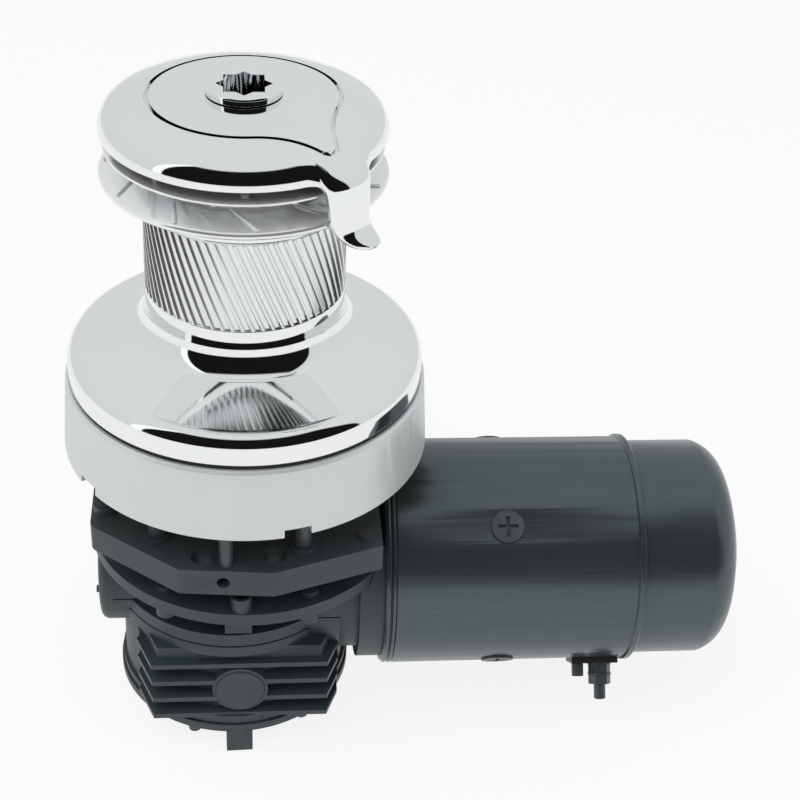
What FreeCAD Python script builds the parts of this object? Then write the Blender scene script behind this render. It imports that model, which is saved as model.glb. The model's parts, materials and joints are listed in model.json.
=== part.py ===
"""Electric self-tailing winch, millimetres. Z is the drum axis, z = 0 is the deck face under the base,
and the motor lies along +X below the deck. Every rigid piece is its own solid or group of solids."""
import FreeCAD, Part
import math
import os

Vector = FreeCAD.Vector

# Clearances
RUN = 0.05            # radial clearance of a running fit
SLIP = 0.1            # radial clearance of a bolt or a ring in its seat
PLAY = 0.3            # gap between faces that move past each other
SEAL = 0.8            # thickness of the gaskets

# Base and deck fastening
BASE_RADIUS = 86.4
BASE_DRAFT = 2.4      # how much narrower the skirt is at its top
BASE_HEIGHT = 35.6
BASE_WALL = 6.5       # at the foot
BASE_EDGE = 1.2       # rounding of the top outer edge
PLATE_THICKNESS = 8.0
LEDGE_THICKNESS = 3.0
LEDGE_WIDTH = 9.0
NOTCH_WIDTH = 12.5
NOTCH_HEIGHT = 4.0
NOTCH_COUNT = 5
NOTCH_ANGLE = -75.0
DECK_THICKNESS = 23.0
STUD_COUNT = 6
STUD_CIRCLE = 136.0
STUD_ANGLE = -68.0
STUD_RADIUS = 4.0
STUD_ROOT = 3.6       # threaded ends, in the base and in the bracket
STUD_BOSS_WALL = 2.4
STUD_BOSS_HEIGHT = 2.0
STUD_TOP_OVER_NUT = 2.0
STUD_SHORT_END = 5.0  # how far above the bracket the stud beside the motor stops
STUD_BITE = 12.0
NUT_HEIGHT = 6.5
NUT_FLATS = 13.0
RING_SCREW_RADIUS = 1.6
RING_SCREW_BITE = 5.0
RING_SCREW_HEAD_HEIGHT = 2.0
SKIRT_SEAL_HEIGHT = 1.9
SKIRT_SEAL_INSET = 1.4

# Stem, bearings and idler gears
STEM_RADIUS = 24.0
STEM_TOP = 161.2
STEM_FOOT_RADIUS = 34.0
STEM_SHOULDER = 28.5
GEAR_POCKET_RADIUS = 23.6
IDLER_SHELF = 50.6
SHAFT_RADIUS = 9.5
BUSH_WALL = 3.0
BUSH_LENGTH = 16.0
ROLLER_RADIUS = 2.6
ROLLER_LENGTH = 12.0
ROLLER_COUNT = 12
CAGE_LENGTH = 15.0
LOWER_CAGE_Z = 66.0
UPPER_CAGE_Z = 113.5
MODULE = 2.0
SUN_TEETH = 20
IDLER_TEETH = 24
GEAR_Z = 39.4
GEAR_FACE = 9.0
SPINDLE_RADIUS = 5.0
SPINDLE_BOSS = 9.0

# Drum
DRUM_BOTTOM = 38.0
DRUM_RIM_STEP = 1.6   # how far the drum's rim stands back from the skirt's top
DRUM_NECK_RADIUS = 45.5
DRUM_RIM_TOP = 45.0
DRUM_SHOULDER = (75.0, 52.0)
DRUM_FILLET_START = (53.0, 61.5)
DRUM_FILLET_MIDDLE = (47.2, 66.6)
DRUM_NECK_Z = 76.0
GRIP_BOTTOM = 83.0
GRIP_TOP = 125.0
GRIP_RIBS = 64
GRIP_RIB_HEIGHT = 1.1
GRIP_HELIX = 22.0
DRUM_TOP = 131.0
DRUM_TOP_RADIUS = 48.0
RING_GEAR_RIM = 4.6

# Self-tailing jaws
JAW_RIM_PROUD = 0.7   # how far the lower jaw's rim stands out past the arm
JAW_RIM_Z = 141.0
JAW_RIM_THICKNESS = 3.4
JAW_HUB_RADIUS = 45.5
JAW_HUB_TOP = 156.2
JAW_ROOT_Z = 143.6
JAW_BORE = 31.0
UPPER_JAW_ROOT_Z = 147.0
UPPER_JAW_RIM_Z = 152.2
UPPER_JAW_SHY = 1.7   # how far the upper jaw's rim stands back from the arm
UPPER_JAW_TOP = 153.4
JAW_TRAVEL = 2.4
JAW_RIBS = 11
LOWER_RIB_ANGLE = -162.5
UPPER_RIB_ANGLE = -146.5
LOWER_RIB_HEIGHT = 1.5
UPPER_RIB_HEIGHT = 1.0
JAW_RIB_WIDTH = 2.0
JAW_RIB_LEAN = 12.0   # turn of a rib's outer end against its inner end
JAW_SPRING_COUNT = 8
JAW_SPRING_CIRCLE = 51.0
JAW_SPRING_RADIUS = 2.3
JAW_SPRING_FLOOR = 149.6
KEEPER_THICKNESS = 1.8
JAW_SCREW_COUNT = 6
JAW_SCREW_CIRCLE = 38.0
JAW_SCREW_RADIUS = 2.5

# Feeder arm, cover and handle socket
ARM_RADIUS = 62.5
ARM_EDGE_Z = 160.0
ARM_LOWER = 158.8
ARM_WALL = 4.0
ARM_BEVEL = 1.4
DOME_EDGE_Z = 162.0
DOME_SHOULDER = ((61.0, 166.6), (56.0, 169.6))
DOME_SLOPE = ((45.0, 172.9), (30.0, 174.2))
DOME_CROWN = ((15.0, 174.9), (0.0, 175.0))
ARM_HOLLOW_TOP = 167.0
ARM_HOLLOW_SLOPE = (50.5, 166.0)
ARM_HOLLOW_SIDE = 162.0
COVER_RADIUS = 40.5
COVER_TIP = (35.2, -45.0)
COVER_TIP_RADIUS = 4.2
COVER_FLOOR = 167.8
ARM_SCREW_CIRCLE = 18.4
ARM_SCREW_RADIUS = 2.1
ARM_SCREW_HEAD = 3.4
ARM_SCREW_BITE = 10.0
COVER_GROOVE = 1.0
SPOUT_ANGLE = -50.0
SPOUT_BOTTOM = 128.6
SPOUT_TOP = 166.0
SPOUT_GAP = 2.2       # room between the guide and the arm's own radius, where the jaws turn
SOCKET_COLLAR_RADIUS = 16.8
SOCKET_RADIUS = 14.6
SOCKET_TOP = 178.8
SOCKET_COLLAR_Z = 175.3
SOCKET_SQUARE = 17.5
SOCKET_DEPTH = 32.0
SOCKET_CLEARANCE = 1.2

# Bracket plate and gearbox below the deck
BRACKET_TOP = -DECK_THICKNESS
BRACKET_BOTTOM = -37.0
BRACKET_FRONT = 81.5
BRACKET_RIGHT = 62.5
BRACKET_HOLE_MIDDLE = -4.1
BRACKET_LEFT = (-73.0, -45.0)
BRACKET_SLANT = (-31.5, -78.0)
BRACKET_POINT_X = 12.0
BRACKET_CUT_Y = -63.5
BRACKET_BORE_RADIUS = 3.0
BRACKET_BORE_X = -11.3
BRACKET_BORE_Z = -30.0
BRACKET_BORE_DEPTH = 11.0
EAR_RADIUS = 5.4
EAR_PLACE = (-66.6, 33.8)
CORNER_SCREW_PLACE = (55.3, 56.2)
POST_RADIUS = 3.2
POST_PLACE = (-10.0, 74.8)
POST_BITE = 2.4       # depth of its seat in the base
POST_SEAT = 4.8       # depth of its seat in the bracket
BRACKET_CORNER_RADIUS = 5.0
BRACKET_HOLE_RADIUS = 5.6
BRACKET_HOLE_X = 16.4
BRACKET_HOLE_Y = 68.6
BRACKET_SCREW_RADIUS = 2.4
NECK_RADIUS = 60.0
FLANGE_RADIUS = 76.5
LOWER_NECK_RADIUS = 50.0
TONGUE_BOSS_RADIUS = 4.9
TONGUE_BORE = 3.2
TONGUE_HEIGHT = 8.0
TONGUE_X = -3.3
TONGUE_INSET = 5.4
FLANGE_TOP = -52.5
FLANGE_BOTTOM = -59.0
FLANGE_BOLT_CIRCLE = 68.0
FLANGE_BOLT_ANGLE = -65.0
FLANGE_BOLT_RADIUS = 2.5
FLANGE_BOSS_RADIUS = 4.6
FLANGE_BOSS_DROP = 9.0
GEARBOX_X = -6.9
SPLIT_Z = -81.0
CASE_RING_RADIUS = 59.0
CASE_RING_HEIGHT = 14.0
CASE_RADIUS = 56.5
CASE_BOTTOM = -141.0
COVER_BOTTOM = -147.5
SUMP_RADIUS = 49.0
SUMP_TOP = -100.0
FIN_FRONT = 57.0
FIN_HALF_WIDTH = 43.0
FIN_THICKNESS = 2.8
FIN_PITCH = 11.0
FIN_TOP = -101.6
FIN_COUNT = 4
PLUG_X = -4.3
PLUG_Z = -119.1
PLUG_RADIUS = 12.1
FOOT_WIDTH = 13.0
FOOT_DROP = 12.0
FOOT_X = -4.8
FOOT_ANGLE = -88.0
CASE_BOLT_RADIUS = 2.0
CASE_BOLT_X = 36.0
CASE_BOLT_Y = 25.0
COVER_BOLT_COUNT = 6
COVER_BOLT_RADIUS = 1.6
BOTTOM_BOLT_CIRCLE = 54.5
BOTTOM_BOLT_ANGLE = -52.0

# Worm drive and spur pair in the gearbox
MOTOR_Z = -78.3
WORM_MODULE = 1.5
WORM_PITCH_RADIUS = 9.0
WORM_HALF_TURNS = 3.25
WHEEL_BACKLASH = 0.35
WHEEL_TEETH = 28
WHEEL_FACE = 10.0
SPUR_MODULE = 1.5
PINION_TEETH = 16
OUTPUT_TEETH = 24
SPUR_Z = -64.0
SPUR_FACE = 9.0
WHEEL_SHAFT_RADIUS = 5.0
WHEEL_BEARING_RADIUS = 9.5
WHEEL_BEARING_LENGTH = 8.0
OUTPUT_HUB_RADIUS = 12.5
OUTPUT_BEARING_RADIUS = 17.5
CLUTCH_RACE_RADIUS = 8.9
CLUTCH_ROLLER_RADIUS = 1.5
CLUTCH_ROLLER_COUNT = 10
BACKLASH = 0.16       # thinning of each tooth flank

# Motor
MOTOR_RADIUS = 57.0
MOTOR_WALL = 4.0
MOTOR_START = 71.3
MOTOR_SEAM = 193.3
MOTOR_END = 250.0
END_CAP_RADIUS = 54.8
END_CAP_WALL = 4.0
SEAM_LIP = 1.2
MOTOR_SHAFT_RADIUS = 6.0
ADAPTER_START = 45.0
ADAPTER_RADIUS = 48.3
ADAPTER_FLANGE_RADIUS = 53.4
ADAPTER_FLANGE_X = 54.0
ADAPTER_END = 66.0
WORM_CAP_RADIUS = 32.0
WORM_CAP_END = -73.0
WORM_CAP_START = -66.0
WORM_BEARING_RADIUS = 11.6
CAP_SCREW_RADIUS = 1.8
CAP_SCREW_CIRCLE = 26.0
ARMATURE_RADIUS = 40.0
ARMATURE_START = 96.0
ARMATURE_END = 168.0
ARMATURE_SLOTS = 16
COMMUTATOR_RADIUS = 18.0
COMMUTATOR_LENGTH = 22.0
COMMUTATOR_BARS = 16
POLE_COUNT = 4
POLE_GAP = 0.8
POLE_ANGLE = 62.0
POLE_SCREW_X = 125.5
POLE_SCREW_HEAD = 8.0
POLE_SCREW_ANGLE = 50.0
BALL_BEARING_RADIUS = 16.0
BALL_BEARING_WIDTH = 9.0
BRUSH_WIDTH = 9.0
COMMUTATOR_START = 174.0
END_CAP_SHOULDER = 229.0
END_CAP_INSIDE = 246.0
TERMINAL_X = 180.5
TERMINAL_ANGLE = 142.0
TERMINAL_RADIUS = 3.0
TERMINAL_ROOT = 2.65  # thread under the nuts
TERMINAL_HEAD_WALL = 3.0
TERMINAL_BEVEL = 0.6
INSULATOR_WALL = 1.85
TERMINAL_NUT_FLATS = 10.0
TERMINAL_REACH = 78.7
TERMINAL_GAP = 11.4
EARTH_RADIUS = 2.6

# Sizes that follow from the ones above
BASE_TOP_RADIUS = BASE_RADIUS - BASE_DRAFT
BASE_BORE = BASE_RADIUS - BASE_WALL
DRUM_RIM_RADIUS = BASE_TOP_RADIUS - DRUM_RIM_STEP
JAW_RIM_RADIUS = ARM_RADIUS + JAW_RIM_PROUD
UPPER_JAW_RADIUS = ARM_RADIUS - UPPER_JAW_SHY
SUN_RADIUS = MODULE * SUN_TEETH / 2
IDLER_RADIUS = MODULE * IDLER_TEETH / 2
IDLER_DISTANCE = SUN_RADIUS + IDLER_RADIUS
RING_TEETH = SUN_TEETH + 2 * IDLER_TEETH
RING_RADIUS = MODULE * RING_TEETH / 2
RING_OUTER = RING_RADIUS + 1.25 * MODULE + RING_GEAR_RIM
WHEEL_PITCH_RADIUS = WORM_MODULE * WHEEL_TEETH / 2
WHEEL_DISTANCE = WORM_PITCH_RADIUS + WHEEL_PITCH_RADIUS
PINION_RADIUS = SPUR_MODULE * PINION_TEETH / 2
OUTPUT_RADIUS = SPUR_MODULE * OUTPUT_TEETH / 2
WHEEL_PLACE = (0.0, -WHEEL_DISTANCE)
SOCKET_FLOOR = SOCKET_TOP - SOCKET_DEPTH


def cylinder(radius, low, high, x=0.0, y=0.0):
    """Upright cylinder between two heights."""
    return Part.makeCylinder(radius, high - low, Vector(x, y, low))


def tube(outer, inner, low, high, x=0.0, y=0.0):
    """Upright ring between two heights."""
    return cylinder(outer, low, high, x, y).cut(cylinder(inner, low, high, x, y))


def lying(radius, start, end, y=0.0, z=MOTOR_Z):
    """Cylinder along X."""
    return Part.makeCylinder(radius, end - start, Vector(start, y, z), Vector(1, 0, 0))


def lying_tube(outer, inner, start, end, y=0.0, z=MOTOR_Z):
    """Ring along X."""
    return lying(outer, start, end, y, z).cut(lying(inner, start, end, y, z))


def block(x0, x1, y0, y1, z0, z1):
    """Box between two corners."""
    return Part.makeBox(x1 - x0, y1 - y0, z1 - z0, Vector(x0, y0, z0))


def edges_of(steps, place):
    """Edges through the steps, where a step is a point or a pair of points that an arc passes."""
    edges = []
    here = place(steps[0])
    for step in steps[1:]:
        if isinstance(step[0], tuple):
            there = place(step[1])
            edges.append(Part.Arc(here, place(step[0]), there).toShape())
        else:
            there = place(step)
            edges.append(Part.makeLine(here, there))
        here = there
    if here.distanceToPoint(place(steps[0])) > 1e-7:
        edges.append(Part.makeLine(here, place(steps[0])))
    return edges


def turned(steps):
    """Solid of revolution about Z from an outline of (radius, height) steps."""
    wire = Part.Wire(edges_of(steps, lambda p: Vector(p[0], 0, p[1])))
    return Part.Face(wire).revolve(Vector(0, 0, 0), Vector(0, 0, 1), 360)


def turned_x(steps):
    """Solid of revolution about the motor axis from an outline of (x, radius) steps."""
    wire = Part.Wire(edges_of(steps, lambda p: Vector(p[0], 0, MOTOR_Z + p[1])))
    return Part.Face(wire).revolve(Vector(0, 0, MOTOR_Z), Vector(1, 0, 0), 360)


def plate(steps, low, high):
    """Upright prism from an outline of (x, y) steps."""
    wire = Part.Wire(edges_of(steps, lambda p: Vector(p[0], p[1], low)))
    return Part.Face(wire).extrude(Vector(0, 0, high - low))


def polar(radius, angle):
    """Point at a radius and an angle in degrees."""
    return (radius * math.cos(math.radians(angle)), radius * math.sin(math.radians(angle)))


def spaced(count, start=0.0):
    """Angles in degrees, evenly spaced round the circle."""
    return [start + 360.0 * k / count for k in range(count)]


def crown(edge_x, edge_radius, tip_x):
    """Middle point of the arc that closes a turned end as part of a ball, from its edge to its tip."""
    height = tip_x - edge_x
    ball = (edge_radius ** 2 + height ** 2) / (2 * height)
    middle = edge_radius / 2
    return (tip_x - ball + math.sqrt(ball ** 2 - middle ** 2), middle)


def around(shape, angles):
    """Copies of a shape turned about Z to each angle."""
    copies = []
    for angle in angles:
        copy = shape.copy()
        copy.rotate(Vector(0, 0, 0), Vector(0, 0, 1), angle)
        copies.append(copy)
    return copies


def around_x(shape, angles):
    """Copies of a shape turned about the motor axis to each angle."""
    copies = []
    for angle in angles:
        copy = shape.copy()
        copy.rotate(Vector(0, 0, MOTOR_Z), Vector(1, 0, 0), angle)
        copies.append(copy)
    return copies


def joined(shapes):
    """One solid from touching or crossing shapes."""
    whole = shapes[0].fuse(shapes[1:]) if len(shapes) > 1 else shapes[0]
    return whole.removeSplitter()


def hexagon(flats, low, high, x=0.0, y=0.0):
    """Upright hexagonal prism."""
    corners = [polar(flats / math.sqrt(3), angle) for angle in spaced(6)]
    return plate([(x + px, y + py) for px, py in corners], low, high)


def save(node, shape):
    """Writes one named piece."""
    shape.exportStep("parts/" + node + ".step")


def tooth_angle(radius, pitch_radius, teeth, thinning, inner):
    """Half angle of a 20 degree involute tooth, or of a ring gear's tooth, at a radius."""
    pressure = math.radians(20.0)
    base = pitch_radius * math.cos(pressure)
    here = math.acos(min(1.0, base / max(radius, base)))
    growth = (math.tan(pressure) - pressure) - (math.tan(here) - here)
    half = math.pi / 2 / teeth - thinning / pitch_radius
    return half - growth if inner else half + growth


def gear_outline(module, teeth, phase, inner=False, thinning=BACKLASH):
    """Points of a spur gear's outline, phase being the angle in radians of one tooth's middle."""
    pitch_radius = module * teeth / 2
    tip = pitch_radius - 0.85 * module if inner else pitch_radius + 0.9 * module
    root = pitch_radius + 1.2 * module if inner else pitch_radius - 1.2 * module
    radii = [root, tip] if inner else [root, pitch_radius, tip]
    flank = [(r, tooth_angle(r, pitch_radius, teeth, thinning, inner)) for r in radii]
    points = []
    for k in range(teeth):
        middle = phase + 2 * math.pi * k / teeth
        for r, half in flank:
            points.append((r * math.cos(middle - half), r * math.sin(middle - half)))
        for r, half in reversed(flank):
            points.append((r * math.cos(middle + half), r * math.sin(middle + half)))
    return points


def toothed(points, low, high, x=0.0, y=0.0):
    """Upright prism from a gear outline."""
    return plate([(x + px, y + py) for px, py in points], low, high)


def meshed_phase(phase, teeth, other_teeth, line_angle):
    """Phase of a gear that meshes outside another, whose centre lies at line_angle from that one."""
    place = (line_angle - phase) * teeth / (2 * math.pi)
    return line_angle + math.pi - 2 * math.pi * (0.5 - place) / other_teeth


def ring_phase(phase, teeth, other_teeth, line_angle):
    """Phase of the ring gear that a gear at line_angle from its centre meshes with."""
    place = (line_angle - phase) * teeth / (2 * math.pi)
    return line_angle - 2 * math.pi * (place - 0.5) / other_teeth


def make_base_ring():
    """Conical skirt of the base with drain notches, resting on the floor plate by an inner ledge."""
    inner = BASE_BORE
    ledge = inner - LEDGE_WIDTH
    top = PLATE_THICKNESS + LEDGE_THICKNESS
    ring = turned([(inner, 0), (BASE_RADIUS, 0), (BASE_TOP_RADIUS, BASE_HEIGHT - BASE_EDGE),
                   (BASE_TOP_RADIUS - BASE_EDGE, BASE_HEIGHT), (inner, BASE_HEIGHT), (inner, top),
                   (ledge, top), (ledge, PLATE_THICKNESS), (inner, PLATE_THICKNESS)])
    notch = block(inner - 1, BASE_RADIUS + 1, -NOTCH_WIDTH / 2, NOTCH_WIDTH / 2, -1, NOTCH_HEIGHT)
    holes = around(cylinder(RING_SCREW_RADIUS + SLIP, PLATE_THICKNESS, top, inner - LEDGE_WIDTH / 2, 0),
                   spaced(STUD_COUNT, STUD_ANGLE + 180 / STUD_COUNT))
    scallop = cylinder(NUT_FLATS / math.sqrt(3) + 1, PLATE_THICKNESS, top, STUD_CIRCLE / 2, 0)
    cuts = around(notch, spaced(NOTCH_COUNT, NOTCH_ANGLE)) + holes
    save("base_ring", ring.cut(cuts + around(scallop, spaced(STUD_COUNT, STUD_ANGLE))))
    screw = cylinder(RING_SCREW_RADIUS, PLATE_THICKNESS - RING_SCREW_BITE, top, inner - LEDGE_WIDTH / 2, 0)
    head = cylinder(2 * RING_SCREW_RADIUS, top, top + RING_SCREW_HEAD_HEIGHT, inner - LEDGE_WIDTH / 2, 0)
    screws = around(joined([screw, head]), spaced(STUD_COUNT, STUD_ANGLE + 180 / STUD_COUNT))
    save("ring_screws", Part.makeCompound(screws))
    low = BASE_HEIGHT
    save("skirt_seal", tube(BASE_TOP_RADIUS - BASE_EDGE - SKIRT_SEAL_INSET, inner + PLAY, low,
                            low + SKIRT_SEAL_HEIGHT))


def locating_post_shapes(grow):
    """Posts between the base and the bracket, or their seats in both."""
    x, y = POST_PLACE
    return [cylinder(POST_RADIUS + grow, BRACKET_TOP - POST_SEAT - grow, POST_BITE + grow, -side * x, side * y)
            for side in (-1, 1)]


def make_winch_base():
    """Floor plate, gear pedestal and hollow centre stem in one casting."""
    floor_radius = BASE_BORE - SLIP
    notch_depth = block(floor_radius - 6, floor_radius + 1, -NOTCH_WIDTH / 2, NOTCH_WIDTH / 2, -1, NOTCH_HEIGHT)
    stem = turned([(0, 0), (floor_radius, 0), (floor_radius, PLATE_THICKNESS),
                   (STEM_FOOT_RADIUS + 8, PLATE_THICKNESS), (STEM_FOOT_RADIUS, PLATE_THICKNESS + 8),
                   (STEM_FOOT_RADIUS, IDLER_SHELF), (IDLER_DISTANCE + 6.5, IDLER_SHELF),
                   (IDLER_DISTANCE + 6.5, IDLER_SHELF + 4), (STEM_FOOT_RADIUS + 2, IDLER_SHELF + 6),
                   (STEM_FOOT_RADIUS + 2, LOWER_CAGE_Z - 3.3), (STEM_SHOULDER, LOWER_CAGE_Z - 3.3),
                   (STEM_SHOULDER, LOWER_CAGE_Z - PLAY), (STEM_RADIUS, LOWER_CAGE_Z - PLAY),
                   (STEM_RADIUS, STEM_TOP), (0, STEM_TOP)])
    bosses = [cylinder(SPINDLE_BOSS, PLATE_THICKNESS - 1, GEAR_Z - PLAY, 0, side * IDLER_DISTANCE)
              for side in (-1, 1)]
    solid = joined([stem] + bosses)
    bore = SHAFT_RADIUS + BUSH_WALL + SLIP
    cuts = [cylinder(bore, -1, STEM_TOP + 1), cylinder(GEAR_POCKET_RADIUS, GEAR_Z - PLAY, IDLER_SHELF)]
    for side in (-1, 1):
        clear = IDLER_RADIUS + MODULE + PLAY
        cuts.append(cylinder(clear, GEAR_Z - PLAY, IDLER_SHELF, 0, side * IDLER_DISTANCE))
        cuts.append(cylinder(SPINDLE_RADIUS + SLIP, 2, IDLER_SHELF + 8, 0, side * IDLER_DISTANCE))
    cuts += around(cylinder(STUD_RADIUS + SLIP, -1, PLATE_THICKNESS + 1, STUD_CIRCLE / 2, 0),
                   spaced(STUD_COUNT, STUD_ANGLE))
    cuts += around(cylinder(RING_SCREW_RADIUS + SLIP, PLATE_THICKNESS - RING_SCREW_BITE, PLATE_THICKNESS,
                            BASE_BORE - LEDGE_WIDTH / 2, 0),
                   spaced(STUD_COUNT, STUD_ANGLE + 180 / STUD_COUNT))
    cuts += around(notch_depth, spaced(NOTCH_COUNT, NOTCH_ANGLE))
    cuts += arm_screw_shapes(SLIP, STEM_TOP - ARM_SCREW_BITE)
    cuts += locating_post_shapes(SLIP)
    save("winch_base", solid.cut(cuts))


def make_deck_studs():
    """Studs with nuts on the floor plate: the one beside the motor stops short of the bracket."""
    x = STUD_CIRCLE / 2
    nut_top = PLATE_THICKNESS + NUT_HEIGHT
    nut = hexagon(NUT_FLATS, PLATE_THICKNESS, nut_top, x, 0)
    nut = nut.cut(cylinder(STUD_ROOT + SLIP, PLATE_THICKNESS, nut_top, x, 0))
    studs = []
    for angle in spaced(STUD_COUNT, STUD_ANGLE):
        place = polar(x, angle)
        upper = cylinder(STUD_ROOT, 0, nut_top + STUD_TOP_OVER_NUT, *place)
        if place[0] > BRACKET_RIGHT:
            studs.append(joined([upper, cylinder(STUD_RADIUS, BRACKET_TOP + STUD_SHORT_END, 0, *place)]))
        else:
            shoulder = BRACKET_TOP + STUD_BOSS_HEIGHT + PLAY
            studs.append(joined([upper, cylinder(STUD_RADIUS, shoulder, 0, *place),
                                 cylinder(STUD_ROOT, BRACKET_TOP - STUD_BITE, shoulder, *place)]))
    nuts = around(nut, spaced(STUD_COUNT, STUD_ANGLE))
    save("deck_studs", Part.makeCompound(studs + nuts))


def make_shaft_group():
    """Main shaft with its socket, sun gear, bushes and the two idler gears on their spindles."""
    low = SPUR_Z - 1.0
    shaft = joined([cylinder(CLUTCH_RACE_RADIUS, low, SPUR_Z + SPUR_FACE + 2),
                    cylinder(SHAFT_RADIUS - 1, SPUR_Z + SPUR_FACE + 2, -8),
                    cylinder(SHAFT_RADIUS, -8, SOCKET_FLOOR)])
    save("main_shaft", shaft)
    sun = toothed(gear_outline(MODULE, SUN_TEETH, 0.0), GEAR_Z, GEAR_Z + GEAR_FACE)
    save("sun_gear", sun.cut(cylinder(SHAFT_RADIUS + SLIP / 2, GEAR_Z, GEAR_Z + GEAR_FACE)))
    bush = tube(SHAFT_RADIUS + BUSH_WALL, SHAFT_RADIUS + RUN, 0, BUSH_LENGTH)
    bushes = []
    for height in (2.0, IDLER_SHELF + 6, STEM_TOP - 2 * BUSH_LENGTH):
        copy = bush.copy()
        copy.translate(Vector(0, 0, height))
        bushes.append(copy)
    save("shaft_bushes", Part.makeCompound(bushes))
    spindles = []
    for side, name in ((1, "idler_gear_rear"), (-1, "idler_gear_front")):
        y = side * IDLER_DISTANCE
        line = side * math.pi / 2
        phase = meshed_phase(0.0, SUN_TEETH, IDLER_TEETH, line)
        gear = toothed(gear_outline(MODULE, IDLER_TEETH, phase), GEAR_Z, GEAR_Z + GEAR_FACE, 0, y)
        save(name, gear.cut(cylinder(SPINDLE_RADIUS + RUN, GEAR_Z, GEAR_Z + GEAR_FACE, 0, y)))
        spindles.append(cylinder(SPINDLE_RADIUS, 2.2, IDLER_SHELF + 4.6, 0, y))
    save("idler_spindles", Part.makeCompound(spindles))


def make_drum_bearings():
    """Two caged roller bearings, the sleeve between them and the thrust washer under the drum."""
    middle = STEM_RADIUS + RUN + ROLLER_RADIUS
    rollers = []
    cages = []
    for low in (LOWER_CAGE_Z, UPPER_CAGE_Z):
        gap = (CAGE_LENGTH - ROLLER_LENGTH) / 2
        roller = cylinder(ROLLER_RADIUS, low + gap, low + gap + ROLLER_LENGTH, middle, 0)
        pocket = cylinder(ROLLER_RADIUS + SLIP, low + gap - SLIP, low + gap + ROLLER_LENGTH + SLIP, middle, 0)
        cage = tube(middle + ROLLER_RADIUS - 0.9, middle - ROLLER_RADIUS + 0.9, low, low + CAGE_LENGTH)
        rollers += around(roller, spaced(ROLLER_COUNT))
        cages.append(cage.cut(around(pocket, spaced(ROLLER_COUNT))))
    save("drum_rollers", Part.makeCompound(rollers))
    save("roller_cages", Part.makeCompound(cages))
    save("bearing_sleeve", tube(middle + 2.0, STEM_RADIUS + SLIP, LOWER_CAGE_Z + CAGE_LENGTH + PLAY,
                                UPPER_CAGE_Z - PLAY))
    low = LOWER_CAGE_Z - 3.3
    save("thrust_washer", tube(STEM_FOOT_RADIUS + 2, STEM_SHOULDER + SLIP, low, low + 1.1))


def grip_sleeve(inner):
    """Helically ribbed sleeve of the drum's waist, lofted through turned copies of one outline."""
    steps = 4
    height = GRIP_TOP - GRIP_BOTTOM
    twist = math.degrees(height * math.tan(math.radians(GRIP_HELIX)) / DRUM_NECK_RADIUS)
    pitch = 2 * math.pi / GRIP_RIBS
    wires = []
    for step in range(steps + 1):
        low = DRUM_NECK_RADIUS - GRIP_RIB_HEIGHT - 0.5 * step / steps
        points = []
        for k in range(GRIP_RIBS):
            for radius, share in ((low, 0.0), (low, 0.42), (low + GRIP_RIB_HEIGHT, 0.6),
                                  (low + GRIP_RIB_HEIGHT, 0.82)):
                angle = pitch * (k + share) - math.radians(twist * step / steps)
                z = GRIP_BOTTOM + height * step / steps
                points.append(Vector(radius * math.cos(angle), radius * math.sin(angle), z))
        wires.append(Part.makePolygon(points + [points[0]]))
    return Part.makeLoft(wires, True, True).cut(cylinder(inner, GRIP_BOTTOM, GRIP_TOP))


def make_drum():
    """Drum with its skirt, ribbed waist and bearing lands, and the ring gear pressed into the skirt."""
    land = STEM_RADIUS + 2 * RUN + 2 * ROLLER_RADIUS
    floor = LOWER_CAGE_Z - 2.0
    core = DRUM_NECK_RADIUS - 2.5
    seat = RING_OUTER + SLIP / 2
    shoulder_mid = (DRUM_RIM_RADIUS - 1.8, DRUM_SHOULDER[1] - 2.3)
    drum = turned([(seat, DRUM_BOTTOM), (DRUM_RIM_RADIUS, DRUM_BOTTOM), (DRUM_RIM_RADIUS, DRUM_RIM_TOP),
                   (shoulder_mid, DRUM_SHOULDER), DRUM_FILLET_START,
                   (DRUM_FILLET_MIDDLE, (DRUM_NECK_RADIUS, DRUM_NECK_Z)), (DRUM_NECK_RADIUS, GRIP_BOTTOM),
                   (core, GRIP_BOTTOM), (core, GRIP_TOP), (DRUM_NECK_RADIUS - 0.6, GRIP_TOP),
                   (DRUM_TOP_RADIUS, GRIP_TOP + 3), (DRUM_TOP_RADIUS, DRUM_TOP), (land, DRUM_TOP),
                   (land, UPPER_CAGE_Z - 2), (land + 8, UPPER_CAGE_Z - 6),
                   (land + 8, LOWER_CAGE_Z + CAGE_LENGTH + 6), (land, LOWER_CAGE_Z + CAGE_LENGTH + 2),
                   (land, floor), (STEM_FOOT_RADIUS + 3, floor), (IDLER_DISTANCE + 9, IDLER_SHELF + 6.2),
                   (seat, GEAR_Z + GEAR_FACE + 1)])
    sleeve = grip_sleeve(core)
    tapped = around(cylinder(JAW_SCREW_RADIUS + SLIP, DRUM_TOP - 8, DRUM_TOP, JAW_SCREW_CIRCLE, 0),
                    spaced(JAW_SCREW_COUNT))
    save("drum", drum.cut(tapped).fuse(sleeve))
    phase = meshed_phase(0.0, SUN_TEETH, IDLER_TEETH, math.pi / 2)
    phase = ring_phase(phase, IDLER_TEETH, RING_TEETH, math.pi / 2)
    teeth = toothed(gear_outline(MODULE, RING_TEETH, phase, True), GEAR_Z - 0.4, GEAR_Z + GEAR_FACE)
    save("ring_gear", cylinder(RING_OUTER, GEAR_Z - 0.4, GEAR_Z + GEAR_FACE).cut(teeth))


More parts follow.
